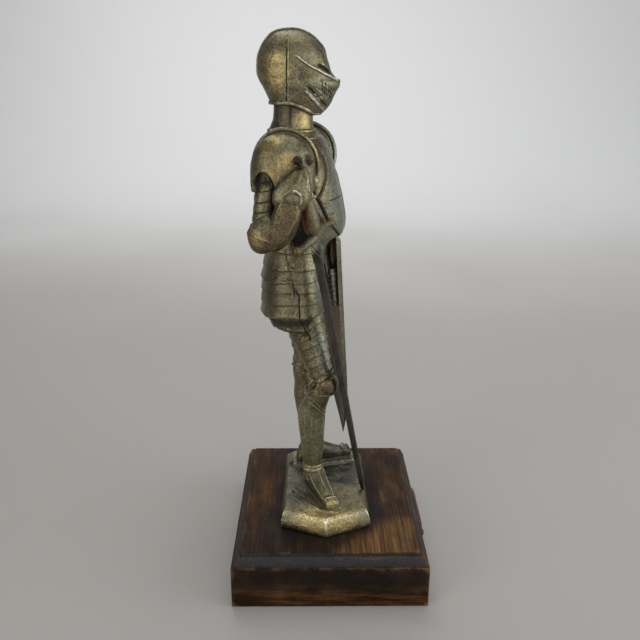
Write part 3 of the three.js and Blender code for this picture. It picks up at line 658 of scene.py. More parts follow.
knight = bmesh.new()
knight.verts.layers.float.new("wear")
leg_poses = {
    -1: dict(hip=(-16, 16.5, 124), knee=(-21.5, 3.6, 80), calf=(-14.5, 11.4, 56), ankle=(-9.5, 10.6, 16),
             facing=(-0.3, -0.95, 0), heel=(2, 13.4, 1.6), toe=(-39.6, -2.4, 1), lame_tilt=(0.1, 0.48, 1)),
    1: dict(hip=(16, 19, 124), knee=(20.5, 15, 78), calf=(21, 14.6, 54), ankle=(20.5, 11.6, 19),
            facing=(0.1, -0.99, 0), heel=(18, 21, 4.6), toe=(29.4, -16.2, 4.2), lame_tilt=(-0.1, 0.22, 1)),
}
thigh_lames = [0, 0.19, 0.33, 0.467, 0.62, 0.77, 0.92, 1]
knee_radii = (6.8, 6.6, 7.2)
knee_fin = [(3.5, 9.5, -3.4, 0.4), (5.4, 8.6, -3.2, 0.7), (6.6, 6.6, -1.4, 0.85), (7.2, 4.6, 2, 0.85),
            (7, 2.8, 6, 0.75), (5.6, 1.6, 8.6, 0.3)]
knee_band = [(0.9, -0.5), (0.3, 0.1), (-0.5, 0.15), (-0.9, -0.5)]
ankle_cuff = [(3.4, 5.6, 6), (2.4, 6.4, 6.7), (0.6, 6.5, 6.8), (-0.6, 7, 7.3), (-1.6, 7, 7.3),
              (-2.3, 5.4, 5.6)]
shoe_shape = [(0, 3, 8), (0.07, 4.8, 14), (0.26, 5.8, 18.5), (0.45, 5.4, 13.5), (0.62, 5, 10), (0.8, 4.3, 7)]
tip_shape = [(0.77, 3.6, 5.6), (0.82, 4.5, 7), (0.86, 4.6, 7.2), (0.93, 4.4, 6.4), (0.97, 4.2, 6),
             (0.982, 3.4, 5)]
shoe_middle = [(0.3, 0, 17), (0.45, 0, 12.4), (0.62, 0, 8.8), (0.8, 0, 6)]
shoe_rail = [(0.33, 3.4, 14.2), (0.36, 4.5, 10.6), (0.45, 4.7, 8.2), (0.62, 4.4, 5.8), (0.84, 4, 4.4)]

for side, pose in leg_poses.items():
    hip, knee, calf, ankle, facing, heel, toe, lame_tilt = (Vector(spot) for spot in pose.values())
    thigh = loft(lamed(oval(hip, 12.2, 12.2), oval(knee.lerp(hip, 0.1), 7, 6.6), thigh_lames, 0.85), 46,
                 axis=-lame_tilt.normalized())
    if side < 0:
        chase(thigh, [(-28.2, 15, 117.3), (-28, 12.6, 113.5), (-28, 12, 110.6)], (-1, 0, 0.3), 1.4, -0.9)
    cast(thigh)

    cap_spot = knee + facing * 2.2
    cap = egg(cap_spot, knee_radii)
    for point in cap.verts:
        off = point.co - cap_spot
        square = Vector([math.copysign(abs(value / radius) ** 0.82, value) * radius
                         for value, radius in zip(off, knee_radii)])
        point.co += (square - off) * 0.7
    cast(cap)
    wing_way = Vector((0, 0, 1)).cross(facing).normalized() * side
    wing = egg(knee + wing_way * 5.2 - facing * 4.2, (2.2, 4.6, 6), sides=(26, 16))
    press(wing, knee + wing_way * 7.4 - facing * 4, 2.6, 1.5)
    cast(wing)
    limb([oval(shifted(knee + wing_way * out - facing * behind, z=rise), thick, thick)
          for out, behind, rise, thick in knee_fin], 5, 16, facing=(1, 0, 0))
    for drop, grow in ((9.2, 0), (-5.2, 0.2)):
        limb([oval(shifted(knee, y=0.8, z=drop + high), 6.7 + grow + out, 6.6 + grow + out)
              for high, out in knee_band], 2, 38)

    greave = loft(flow([
        oval(shifted(knee, y=1.4, z=5), 6, 6), oval(shifted(knee, y=2.4, z=-4), 6.7, 6.7),
        oval(shifted(knee.lerp(calf, 0.6), y=0.8), 7.3, 7.6), oval(calf, 7.8, 8.8),
        oval(calf.lerp(ankle, 0.45), 6.8, 7.6), oval(ankle, 5.6, 6)], 6), 46)
    if side < 0:
        chase(greave, [(-23, 10.6, 64), (-21.8, 9.9, 56), (-20.6, 9.2, 48.1), (-17.5, 8, 33.4),
                       (-14.4, 7, 19.6)], (-1, -0.1, 0), 2.8, 0.4, ends=0.1, shine=0.15)
        chase(greave, [(-18.5, 5, 50), (-16.2, 5.3, 36), (-13.4, 4.9, 24), (-12.4, 4.8, 17)], (-1, -0.6, 0),
              1.4, 0.45, ends=0.05, shine=0.3)
        strap = [(-24.3, 14.2, 71.2), (-24.9, 11, 67.8), (-24.1, 6.4, 63.4), (-20.5, 3.6, 58.6),
                 (-17.1, 3.1, 56)]
        for rise in (2.4, -0.2):
            chase(greave, [shifted(spot, z=rise) for spot in strap], (-1, -0.4, 0), 0.9, 0.4, ends=0.04)
    else:
        for way in (-1, 1):
            seam = [knee.lerp(calf, 0.5), calf, calf.lerp(ankle, 0.45), ankle]
            chase(greave, [shifted(spot, way * 7, 1) for spot in seam], (way, 0, 0), 1.6, 0.4, ends=0.1)
        for drop in (0, -2.6):
            way_round = ((7.2, 6, -8), (7.4, 1, -12.4), (4, -5, -17))
            strap = [shifted(knee, x, y, z + drop) for x, y, z in way_round]
            chase(greave, strap, (1, -0.4, 0), 0.9, 0.5, ends=0.04)
    cast(greave)
    limb([oval(shifted(ankle, z=rise), wide, deep) for rise, wide, deep in ankle_cuff], 2, 44)

    way = (toe - heel).normalized()
    sideways = way.cross(Vector((0, 0, 1))).normalized()
    bright = 0.85 if side < 0 else 0.1

    def on_foot(share, out, high):
        """A spot this share of the way from heel to toe."""
        return heel.lerp(toe, share) + sideways * out + Vector((0, 0, high))

    def shod(shape, sharp, hind, steps, sides):
        rows = [[*on_foot(share, 0, high / 2 - 1), wide, high / 2, high / 2 + 1, sharp, hind]
                for share, wide, high in shape]
        return loft(flow(rows, steps), sides, axis=way, facing=(0, 0, 1))

    shoe = shod(shoe_shape, 1.8, 3, 6, 44)
    chase(shoe, [on_foot(*spot) for spot in shoe_middle], (0, 0, 1), 0.9, 0.35, reach=4, ends=0,
          shine=bright * 0.7)
    for edge in (-1, 1):
        rail = [on_foot(share, out * edge, high) for share, out, high in shoe_rail]
        chase(shoe, rail, sideways * edge * 0.8 + Vector((0, 0, 1)), 1.1, 0.6, reach=4, ends=0, shine=bright)
        for between in (0.3, 0.55, 0.8):
            stripe = [on_foot(*spot).lerp(end, between) for spot, end in zip(shoe_middle, rail[1:])]
            chase(shoe, stripe, sideways * edge * 0.5 + Vector((0, 0, 1)), 0.6, 0.16, ends=0.1, shine=0.3)
    cast(shoe)
    tip = shod(tip_shape, 2.8, 3.4, 2, 36)
    edgings = [[on_foot(share, out, 5.6) for out in (-3.6, 0, 3.6)] for share in (0.87, 0.955)]
    edgings += [[on_foot(share, out, 5.2) for share in (0.86, 0.96)] for out in (-3.6, 3.6)]
    for edging in edgings:
        chase(tip, edging, (0, 0, 1), 0.8, 0.35, reach=4, ends=0, shine=bright)
    cast(tip)
    limb([oval(shifted(ankle, z=-8), 6.2, 6.8), oval(ankle, 5.4, 5.8)], 3, 30)

    sole = bmesh.new()
    sole.verts.layers.float.new("wear")
    bmesh.ops.create_grid(sole, x_segments=28, y_segments=6, size=0.5)
    for point in sole.verts:
        share = point.co.x + 0.5
        half = 3 + 2.8 * smooth_step(0, 0.3, share) - 0.4 * smooth_step(0.74, 1, share)
        point.co = on_foot(share, point.co.y * 2 * half, 0.8)
    wall, wall_edges = draw_out(sole, open_edges(sole))
    for point in wall:
        point.co.z = -1.4
    bmesh.ops.contextual_create(sole, geom=wall_edges)
    face_out(sole)
    cast(sole)


# Skirt of hoops: part of the casting. Six hoops hang below the waist, split at
# the right hip, over a ragged hem of mail.

def other_side(line, side):
    """A line of the right side as it is, or over on the left."""
    return [(-side * x, y, z) for x, y, z in line]


skirt_top = [0, 17.5, 171, 24.3, 15.2, 19.8, 2.1, 2.2]
skirt_middle = [0, 18, 150, 30.2, 14, 23.2, 2.1, 2.4]
skirt_bottom = [0, 18.5, 126, 32.6, 15.2, 23.8, 2.2, 2.4]
upper_hoops = [(171 - z) / 21 for z in (171, 163.5, 153.8, 147)]
lower_hoops = [(150 - z) / 24 for z in (147, 140.8, 133.6, 126)]
upper_split = [(-25.5, 25.6, 166), (-26.4, 25.6, 162.7), (-27.4, 25.4, 159.3), (-28.9, 23.8, 154.3),
               (-30.2, 22.4, 151.5), (-30.8, 22.2, 146.7), (-31.8, 21.3, 143.2), (-32.4, 21.8, 135.2)]
lower_split = [(-32, 20.9, 143.6), (-32.3, 18.7, 140), (-33, 18.6, 132.5), (-33.2, 18.3, 128),
               (-32.8, 18.3, 123.6)]
hem_rows = [[0, 18, 114.4, 27, 13, 15.5, 2.2, 2.4], [0, 18, 115.6, 29.5, 14.6, 18.5, 2.2, 2.4],
            [0, 18, 118.6, 30, 14.5, 19.4, 2.2, 2.4], [0, 18, 128, 31, 15.5, 22, 2.2, 2.4]]
hem_split = [(-31, 17.8, 126), (-30.6, 17.4, 123), (-29.8, 16, 120.4), (-28.6, 14.4, 116)]

skirt = loft(lamed(skirt_top, skirt_middle, upper_hoops, 0.8, shine=0.12)
             + lamed(skirt_middle, skirt_bottom, lower_hoops, 0.8, shine=0.12), 84, axis=(0, 0, 1))
for point in skirt.verts:
    fall = smooth_step(168, 140, point.co.z)
    point.co.z -= 2.3 * fall * min(1.0, abs(point.co.y - 18) / 21) ** 2
    point.co.z += 0.6 * lumps((point.co.x, point.co.y, 0), 9) * fall
    point.co += point.normal * (0.4 * lumps(point.co, 7) + 0.15 * lumps(point.co, 2.2))
skirt.normal_update()
for side in (-1, 1):
    out = (side, 0.1, 0.1)
    chase(skirt, other_side([(x, y + 0.9, z) for x, y, z in upper_split], side), out, 1, 0.3, ends=0.1,
          shine=0.3)
    chase(skirt, other_side(upper_split[4:], side), out, 0.7, -0.35, ends=0.3)
    chase(skirt, other_side(lower_split, side), out, 1, -0.8, ends=0.1)
    for spot in other_side([(-32, 20.9, 143.2), (-33, 18.9, 132.5)], side):
        press(skirt, spot, 0.9, 2.2)
cast(skirt)

hem = loft(flow(hem_rows, 7), 96, axis=(0, 0, 1))
hem_wear_and_shade = hem.verts.layers.float["wear"]
for point in hem.verts:
    turned = math.atan2(point.co.y - 18, point.co.x)
    ragged = smooth_step(121, 115.6, point.co.z)
    front = smooth_step(20, 14, point.co.y)
    point.co.z += ragged * (1.3 * lumps((turned * 4.4, 2, 5), 1) + 1.2 + front * 1.6 * math.sin(turned * 17))
    weave = lumps(point.co, 1.1)
    point.co += point.normal * (0.7 * lumps((turned * 8, point.co.z / 6, 1), 1) + 0.35 * weave)
    bead = swell(point.co.z - 117.6, 1.1)
    point.co += point.normal * 0.7 * bead
    # painted shadow: a dark band on the mail just under the lowest hoop of the skirt
    under = swell(point.co.z - 122.6 + 2.3 * min(1.0, abs(point.co.y - 18) / 21) ** 2, 1.3)
    point[hem_wear_and_shade] = -0.35 + 0.6 * weave + 0.25 * bead - 0.9 * under
hem.normal_update()
for side in (-1, 1):
    chase(hem, other_side(hem_split, side), (side, -0.2, 0), 1, -0.7, ends=0)
cast(hem)


# Body: part of the casting. A waisted trunk with a breastplate that stands
# proud of it and ends in a point low on the belly, and a collar at the neck.

trunk_rows = [[0, 18, 160, 24, 14, 19.6, 2, 2.4], [0, 18, 166.5, 23.4, 18.2, 18.5, 1.9, 2.4],
              [0, 17, 172, 25, 23.8, 20, 1.8, 2.4], [0, 17, 180, 27.5, 24.6, 21.5, 1.8, 2.4],
              [0, 17, 190, 29.8, 23.2, 22.8, 1.9, 2.4], [0, 17.5, 199, 31, 21.6, 23.4, 2, 2.4],
              [0, 18, 209, 31, 19.6, 23, 2, 2.4], [0, 19.5, 217, 28.5, 18.4, 20.5, 2, 2.4],
              [0, 21.5, 224, 20, 14.5, 15.5, 2, 2.4], [0, 22, 228, 14, 11, 12, 2, 2.4]]
breast_side = [(0, 168.2), (-10, 172), (-17.9, 178.1), (-21.9, 183.5), (-25.2, 189.8), (-27.9, 195.5),
               (-25.1, 200.6), (-22, 205), (-19.2, 211), (-17, 217), (-15, 223)]
breast_line = [(-x, z) for x, z in breast_side[:0:-1]] + breast_side
breast_slot = [(-22.6, 1.5, 193.4), (-17.2, -1.5, 193.9), (-9, -4.2, 194.2), (-4.6, -5.4, 194.5)]
arm_edge = [(-29, 13, 187), (-29.4, 12, 193), (-29.6, 11, 199), (-28.5, 9.6, 206), (-25, 8, 214)]
breast_keel = [(0, -6.6, 172), (0, -8, 182), (0, -6.8, 195), (0, -2.5, 210)]
neck_rows = [[0, 22, 218, 26, 22, 21, 2, 2], [0, 22.5, 227, 17.5, 17, 16.5, 2, 2],
             [0, 22.6, 229.6, 14.6, 14.2, 14.6, 2, 2], [0, 22.4, 233, 12.4, 12, 12.8, 2, 2],
             [0, 21.9, 238, 11.5, 11.3, 11.6, 2, 2], [0, 21.9, 250, 11.4, 11.3, 11, 2, 2]]


def breast_gap(x, z):
    """How far inside the breastplate's outline a point of the body is, seen from in front."""
    crossings = 0
    for (x1, z1), (x2, z2) in zip(breast_line, breast_line[1:] + breast_line[:1]):
        if (z1 > z) != (z2 > z) and x < x1 + (x2 - x1) * (z - z1) / (z2 - z1):
            crossings += 1
    gap = line_gap(Vector((x, z)), breast_line)[0]
    return gap if crossings % 2 else -gap


trunk = loft(flow(trunk_rows, 6), 82, axis=(0, 0, 1))
for (x1, z1), (x2, z2) in zip(breast_line, breast_line[1:]):
    middle = Vector(((x1 + x2) / 2, 0, (z1 + z2) / 2))
    near = []
    for face in trunk.faces:
        x, y, z = face.calc_center_median()
        if y < 11 and math.hypot(x - middle.x, z - middle.z) < 6.5:
            near.append(face)
    slit_near(trunk, near, middle, Vector((z2 - z1, 0, x1 - x2)).normalized(), (-0.7, -0.35, 0, 0.5))
trunk.normal_update()
plate_wear = trunk.verts.layers.float["wear"]
for point, way in [(point, point.normal.copy()) for point in trunk.verts]:
    if point.co.y < 11.5 and way.y < 0.2:
        gap = breast_gap(point.co.x, point.co.z)
        below_neck = smooth_step(224, 222, point.co.z)
        point[plate_wear] = (0.4 * swell(gap - 0.6, 0.45) - 1.2 * swell(gap + 0.25, 0.3)) * below_neck
        point.co += way * (1.0 * smooth_step(-0.1, 0.5, gap) - 0.7 * swell(gap + 0.35, 0.3)) * below_neck
trunk.normal_update()
for side in (-1, 1):
    chase(trunk, other_side(breast_slot, side), (side * 0.5, -1, 0), 1.1, -0.35, reach=4)
    chase(trunk, other_side(arm_edge, side), (side, -0.5, 0), 1.5, 0.5, reach=4)
    press(trunk, (side * 29, 9.4, 199), 1.0, 2.4)
    press(trunk, (side * 29, 9.4, 201), 1.0, 2.0)
chase(trunk, breast_keel, (0, -1, 0), 3.2, 0.5, reach=6)
cast(trunk)
limb(neck_rows, 4, 66, axis=(0, 0, 1))
for low, wide, front, back in ((226.6, 17.9, 17.4, 17), (230.4, 14.4, 14, 14.6)):
    limb([[0, 22.5, low + rise, wide - less, front - less, back - less, 2, 2]
          for rise, less in ((-0.7, 0.9), (0, 0), (0.7, 0.1), (1.4, 1.2))], 2, 66, axis=(0, 0, 1))
cast(loft([oval((0, 23.5, z), wide, 0.5) for z, wide in ((229, 15), (233, 12.4), (249, 11.8))], 12,
          axis=(0, 0, 1)))


# Shoulders and arms: part of the casting. Domed shoulder pieces arched over
# laminated upper arms, elbow cops, forearms, and gauntlets with fingers.

def trim(form, place, way):
    """Cuts off what lies beyond a plane, and closes the cut."""
    cut = slit(form, everything(form), place, way, clear_outer=True)["geom_cut"]
    bmesh.ops.contextual_create(form, geom=[part for part in cut if isinstance(part, bmesh.types.BMEdge)])
    face_out(form)


def carve(form, tool):
    """Cuts one closed form out of another."""
    blank, cutter = (set_down(end_form(shape, "blank"), "blank") for shape in (form, tool))
    cut = blank.modifiers.new("cut", "BOOLEAN")
    cut.operation, cut.solver, cut.object = "DIFFERENCE", "EXACT", cutter
    bpy.context.view_layer.update()
    carved = bmesh.new()
    carved.from_object(blank, bpy.context.evaluated_depsgraph_get())
    for piece in (blank, cutter):
        mesh = piece.data
        bpy.data.objects.remove(piece)
        bpy.data.meshes.remove(mesh)
    carved.normal_update()
    return carved


hilt_top = Vector((-48.5, 17.6, 217.8))
sword_way = (Vector((-14.6, -22.4, 1)) - hilt_top).normalized()
shoulder_spots = {-1: (-33.5, 27, 213.4), 1: (33.5, 15.5, 213.4)}
shoulder_rows = [(-15, 11.4, 17.2), (-8, 12.8, 17.8), (0, 13.4, 17.6), (7, 12.4, 16.2), (12.6, 9.8, 13),
                 (16.4, 5.8, 8.2), (18, 1.6, 2.6)]
shoulder_cut, cut_way = 202.1, (0, -0.0267, -1)
arch_wide, arch_high, arch_back, arch_drop = 6.5, 11.4, 9.8, 12.4
flange_radius, flange_thick, flange_tilt = 18.3, 1.25, 12

for side in (-1, 1):
    centre = Vector(shoulder_spots[side])

    def arch_share(spot):
        """How far from the middle of the arch a spot is: 1 on the arch."""
        return math.hypot((spot.y - centre.y - arch_back) / arch_wide,
                          (spot.z - centre.z + arch_drop) / arch_high)

    dome = loft(flow([oval(shifted(centre, -side * rise * 0.06, 0, rise), wide, deep)
                      for rise, wide, deep in shoulder_rows], 6), 66)
    tool = bmesh.new()
    bmesh.ops.create_cone(tool, cap_ends=True, segments=48, radius1=1, radius2=1, depth=30)
    rotate(tool, 90, "Y")
    stretch(tool, (1, arch_wide, arch_high))
    move(tool, shifted(centre, side * 21, arch_back, -arch_drop))
    dome = carve(dome, tool)
    trim(dome, (0, 0, shoulder_cut), cut_way)
    arch_edge = [edge for edge in dome.edges if edge.calc_face_angle(0) > 0.9
                 and edge.verts[0].co.z > shoulder_cut + 0.3
                 and all(abs(arch_share(end.co) - 1) < 0.03 for end in edge.verts)
                 and all((end.co.x - centre.x) * side > 7 for end in edge.verts)]
    round_over(dome, arch_edge, 0.7, 3)
    dome.normal_update()
    for point, way in [(point, point.normal.copy()) for point in dome.verts]:
        off, outward = arch_share(point.co), (point.co.x - centre.x) * side
        if outward > 5:
            point.co += way * 0.7 * swell(off - 1.08, 0.11)
        keel = swell(point.co.y - centre.y + 0.9, 1.4) * smooth_step(centre.z - 6, centre.z + 2, point.co.z)
        point.co += way * 0.5 * keel * ((point.co.x - centre.x) * side > 0)
    cast(dome)
    disc = egg(shifted(centre, -side * 5, -0.4, 1), (2.6, 17.8, 18.8), (0, side * flange_tilt, 0), (38, 28))
    trim(disc, (0, 0, shoulder_cut), cut_way)
    cast(disc)
    flange = bmesh.new()
    rim_wear = flange.verts.layers.float.new("wear")
    bmesh.ops.create_circle(flange, segments=10, radius=flange_thick)
    for point in flange.verts:
        point[rim_wear] = 0.45 * smooth_step(0.2, 1.2, point.co.y)
    move(flange, (0, flange_radius, 0))
    bmesh.ops.spin(flange, geom=flange.verts[:] + flange.edges[:], cent=(0, 0, 0), axis=(1, 0, 0),
                   angle=math.tau, steps=74, use_merge=True)
    stretch(flange, (1, 1, 1.05))
    for point in flange.verts:
        point.co.y *= 1 - 0.1 * smooth_step(0, 12, point.co.y)
    rotate(flange, side * flange_tilt, "Y")
    move(flange, shifted(centre, -side * 5.4, -0.4, 1))
    face_out(flange)
    trim(flange, (0, 0, shoulder_cut + 0.3), cut_way)
    cast(flange)

# right arm, bent up to hold the sword under its pommel
arm_top, arm_low, arm_tilt = Vector((-37.5, 35, 214)), Vector((-44.2, 37.4, 184)), Vector((0.03, 0.13, 1))
arm_lames, arm_steps = [0, 0.24, 0.4, 0.59, 0.757, 0.93, 1.1], 64
elbow_tip = Vector((-50, 45.6, 181.2))
elbow_crease = [(-48, 43, 189), (-50, 44.6, 185), (-52.4, 43, 181), (-54.6, 38, 178), (-55, 33, 176)]
forearm_flat = -55.2
forearm_rows = [oval((-46, 35, 173), 4.6, 4.6), oval((-47.6, 31.8, 176.6), 6.8, 7),
                oval((-49, 27.6, 182.5), 7.3, 7.9), oval((-49.6, 24.8, 189), 7.4, 7.8),
                oval((-49.6, 23, 197), 6.6, 6.8)]
forearm_back = [(-55.8, 26.4, 199), (-55, 28.9, 195), (-55, 29.9, 191.3), (-55, 30.7, 186.1),
                (-55, 31.6, 181.8), (-54.8, 32.4, 177.7), (-54, 32.8, 173)]
forearm_front = [(-54.1, 17.7, 194.1), (-54.3, 19, 190.2), (-54.8, 20.1, 187.1), (-55, 22.2, 182.9),
                 (-55, 24.9, 178.3), (-54.8, 28.6, 175.6), (-54.4, 32, 174)]
gauntlet_rows = [[-49.6, 22, 191.5, 3.5, 5, 6, 2, 2], [-49.8, 22.2, 195, 4.8, 8.4, 9, 2, 2],
                 [-49.8, 21.8, 199, 5.4, 9.9, 10.6, 2, 2], [-49.6, 21.2, 203, 5, 9.6, 10.4, 2, 2],
                 [-49.2, 19.9, 207, 4.2, 8, 8.2, 2, 2], [-48.6, 18.2, 210.5, 3.4, 5.8, 5.8, 2, 2],
                 [-48.2, 16.6, 213.6, 2.2, 3, 3.4, 2, 2], [-48, 15.8, 215.6, 0.8, 1, 1.2, 2, 2]]
hand_ridge = [(-54.4, 26, 201.4), (-54.2, 23.6, 203), (-53.6, 21, 206), (-52.6, 18.6, 209), (-50.8, 17, 212)]
hand_edge = [(-52, 14.4, 212), (-52, 13.4, 209.7), (-52, 12.9, 205.5), (-51.8, 12.6, 201.3), (-51, 14.6, 196)]
cup_rim = [(-56, 21.6, 204), (-56, 19.4, 204), (-55.6, 17.2, 201.6), (-55.6, 16.6, 198.6),
           (-55.4, 17.6, 195.6)]
cup_middle = Vector((-55, 20.4, 199.2))
finger_reach, finger_pitch = 4.1, 3.2

arm_rows = []
for k in range(arm_steps + 1):
    share = k / arm_steps
    part = next(i for i in range(1, len(arm_lames)) if share <= arm_lames[i])
    within = (share - arm_lames[part - 1]) / (arm_lames[part] - arm_lames[part - 1])
    bulge = 0.55 * (4 * within * (1 - within)) ** 0.4 * (part > 1)
    in_groove = bulge < 0.32 and part > 1
    arm_rows.append(oval(arm_top.lerp(arm_low, share), 5.4 + bulge + share * 0.6, 5.5 + bulge + share * 0.5)
                    + [0.15 * bulge - 0.9 * in_groove])
cast(loft(arm_rows, 44, axis=-arm_tilt.normalized()))
elbow = egg((-47, 36.6, 179.6), (8, 8.6, 11.4), (22, 0, 0), (56, 36))
for point in elbow.verts:
    pull = swell((point.co - elbow_tip).length, 4.6)
    point.co += (elbow_tip - point.co) * pull * 0.55 + Vector((-0.3, 0.9, 0)) * pull
elbow.normal_update()
chase(elbow, elbow_crease, (-1, 0.8, 0), 2.4, 0.5, reach=5, shine=0.25)
cast(elbow)
forearm = loft(flow(forearm_rows, 6), 52, facing=(0, -0.9, -0.4))
for point in forearm.verts:
    point.co.x = max(point.co.x, forearm_flat - 0.12 * (point.co.x - forearm_flat) ** 2)
forearm.normal_update()
chase(forearm, forearm_back, (-1, 0.1, 0), 1.8, 0.3, ends=0.2, shine=0.2)
chase(forearm, forearm_front, (-1, -0.3, 0), 1.8, 0.25, ends=0.3, shine=0.1)
cast(forearm)
gauntlet = loft(flow(gauntlet_rows, 5), 50, axis=(0, 0, 1))
chase(gauntlet, hand_ridge, (-1, 0, 0.2), 3, 0.6, reach=4, ends=0.05, shine=0.2)
chase(gauntlet, hand_edge, (-1, -0.8, 0), 1.2, 0.55, reach=4, ends=0, shine=0.4)
cast(gauntlet)
cup = egg((-53.2, 20, 199.6), (3.1, 4, 5.4), (16, 0, 0), (56, 36))
press(cup, (-56.6, 20.4, 199.2), 3.4, 2.6, sharp=4)
cup_wear = cup.verts.layers.float["wear"]
for point in cup.verts:
    point[cup_wear] = 0.1 - 0.6 * math.exp(-((point.co - cup_middle).length / 2.6) ** 4)
chase(cup, cup_rim, (-1, 0, 0), 1, 0.3, reach=4, ends=0.1, shine=1)
cast(cup)
hand = hilt_top + sword_way * 12
cast(egg(hand + Vector((-1.6, 3, -1)), (4.4, 5, 7.2), (30, 0, 0)))
knuckle_end = egg((-40.8, 13, 217.8), (1.2, 2.6, 3), (35, 0, 0))
press(knuckle_end, (-43.2, 15.6, 215.1), 1.0, 1.4)
cast(knuckle_end)
across_grip = Vector((0, 0, 1)).rotation_difference(sword_way).to_matrix().to_4x4()
for k in range(4):
    finger = bmesh.new()
    finger.verts.layers.float.new("wear")
    bmesh.ops.create_circle(finger, segments=12, radius=1.4 - 0.05 * k)
    rotate(finger, 90, "X")
    move(finger, (finger_reach, 0, 0))
    bmesh.ops.spin(finger, geom=finger.verts[:] + finger.edges[:], cent=(0, 0, 0), axis=(0, 0, 1),
                   angle=math.tau, steps=24, use_merge=True)
    for point in finger.verts:
        knuckle = 1 + 0.1 * math.cos(math.atan2(point.co.y, point.co.x) * 5 + k)
        point.co.x, point.co.y = point.co.x * knuckle, point.co.y * knuckle
    spot = hand + Vector((2.2, 1.6, 0)) + sword_way * (4.8 - k * finger_pitch)
    bmesh.ops.transform(finger, matrix=Matrix.Translation(spot) @ across_grip, verts=finger.verts)
    face_out(finger)
    cast(finger)

# left arm, bent forward and down, its hand flat behind the shield
lame_edges = [0, 0.34, 0.5, 0.67, 0.84, 1]
cast(loft(lamed(oval((37.5, 22, 214), 6, 6), oval((44, 28, 180), 6.2, 6.2), lame_edges, 0.75), 34))
cast(egg((46, 29, 176), (8.2, 9, 10.4), (20, 0, 0), (38, 26)))
cast(egg((47, 34.6, 176.6), (4.4, 4, 4.4)))
limb([oval((46.5, 31.5, 171), 5, 5.2), oval((44, 27, 172), 7.4, 7.6), oval((38, 18.5, 171), 7.4, 7.6),
      oval((30, 10, 166), 6.2, 6.4), oval((26, 6, 160), 5, 5)], 5, 38, facing=(0, 0, 1))
limb([oval((27.4, 8, 163), 6.2, 6.2), oval((25, 3.8, 158), 6.4, 5), oval((24.6, 3.2, 151), 5, 4)], 4, 34)
limb([oval((27.4, 8.6, 163), 5.4, 5.4) + [0], oval((25.6, 6.6, 159.4), 6.4, 6.2) + [0.1],
      oval((25, 5.9, 157.6), 7.1, 7) + [0.7], oval((24.8, 5.7, 156.9), 7.1, 7) + [0.6],
      oval((24.7, 5.5, 156.3), 6, 5.6) + [-0.6]], 3, 40)
limb([oval((24.6, 3.2, 152), 4.6, 3.6), oval((24.4, 2.2, 145), 6.2, 4), oval((24.2, 0.5, 137), 6.2, 3.8)],
     4, 34)
for k in range(4):
    off = (k - 1.5) * 3.1
    root = oval((23.4 + off, -0.6 + off * 0.28, 143), 1.8, 2.9)
    end = oval((23.4 + off, -3 + off * 0.28, 116 + abs(k - 1.3) * 1.6), 1.3, 1.9)
    cast(loft(lamed(root, end, [0, 0.16, 0.3, 0.44, 0.57, 0.7, 0.85, 1], 0.75, shine=0.8), 14))


# Helmet: the top of the casting. A closed helmet with a beaked visor, a sight
# slot under a bright ridge, a comb over the crown and a rolled lower rim.

skull_rows = [[0, 23, 238.6, 10, 15.4, 11, 1.45, 2], [0, 22, 240.6, 12, 17.4, 12.4, 1.45, 2],
              [0, 21, 243.5, 13.6, 19.2, 13.8, 1.45, 2], [0, 20, 248, 15, 20.8, 16, 1.45, 2],
              [0, 20, 252.2, 15.9, 22.9, 18, 1.45, 2], [0, 20, 255.4, 16.6, 24.7, 19.6, 1.45, 2],
              [0, 20, 256.6, 16.7, 24.7, 20.1, 1.45, 2], [0, 20, 259, 16.8, 22.8, 20.8, 1.45, 2],
              [0, 20, 263, 17, 19.6, 21.4, 1.75, 2], [0, 20, 267, 17, 18.4, 21.4, 2, 2],
              [0, 20, 272.5, 16.3, 16.4, 20.2, 2, 2], [0, 20.5, 277.5, 14.2, 13.2, 17.2, 2, 2],
              [0, 21.5, 281.5, 10.6, 9.6, 12.8, 2, 2], [0, 22.3, 283.6, 6.4, 5.8, 8, 2, 2],
              [0, 22.7, 284.5, 2.4, 2.2, 3, 2, 2]]
helmet_edge = [(48, 245), (24, 245), (17, 243), (10, 239.2), (-10, 240.6)]
rim_profile = [(-0.6, 2.3), (0.55, 2.1), (1.05, 1.4), (1.05, 0.6), (0.6, -0.1), (-0.4, -0.3), (-1.6, 0.2)]
sight_ridge = [(-17.1, 19.4, 270.9), (-17, 16.8, 268.6), (-16, 14.8, 267), (-15, 12.1, 265.3),
               (-13.1, 9.3, 264), (-8.9, 4.7, 261.5), (-4.8, -1, 259.2), (-0.2, -4.6, 257.5)]
sight = [(-12.6, 8.6, 265.9), (-10, 6.2, 265), (-7.6, 4, 263.8), (-4.4, 0.8, 262), (-1.6, -1.2, 260.8)]
visor_edge = [(-15, 13.9, 257.5), (-13, 10.2, 254.9), (-10, 6.5, 251.4), (-6.1, 3.7, 247.9),
              (-0.6, 1.5, 245.1)]
visor_gap = [(-14.8, 13.9, 254.9), (-12.8, 11, 252.2), (-9.8, 7.4, 248.8), (-6.2, 5, 245.8), (-1, 2.8, 243.4)]
chin_ridge = [(-14.7, 14.8, 252.6), (-12.7, 12.1, 249.4), (-9.6, 8.8, 246), (-6.4, 6.5, 243.6),
              (-2.9, 4.7, 241.6)]
mould_seam = [(-5.1, 24.2, 283.9), (-10, 24.2, 281), (-13.8, 24.1, 277.1), (-16.1, 24.1, 268.6),
              (-16.2, 24.3, 260.1), (-14.9, 24.4, 251.4), (-14.3, 24.5, 245.9)]
breath_rows = [((-10.8, 6.1, 257.9), (-4.1, -1, 253.4), 5), ((-10.6, 5.9, 255.8), (-3.8, -0.3, 251), 6),
               ((-10.2, 5.6, 253.6), (-3.4, 0.5, 248.6), 6)]
comb_half, comb_foot, comb_high = 1.7, 2.6, 1.2


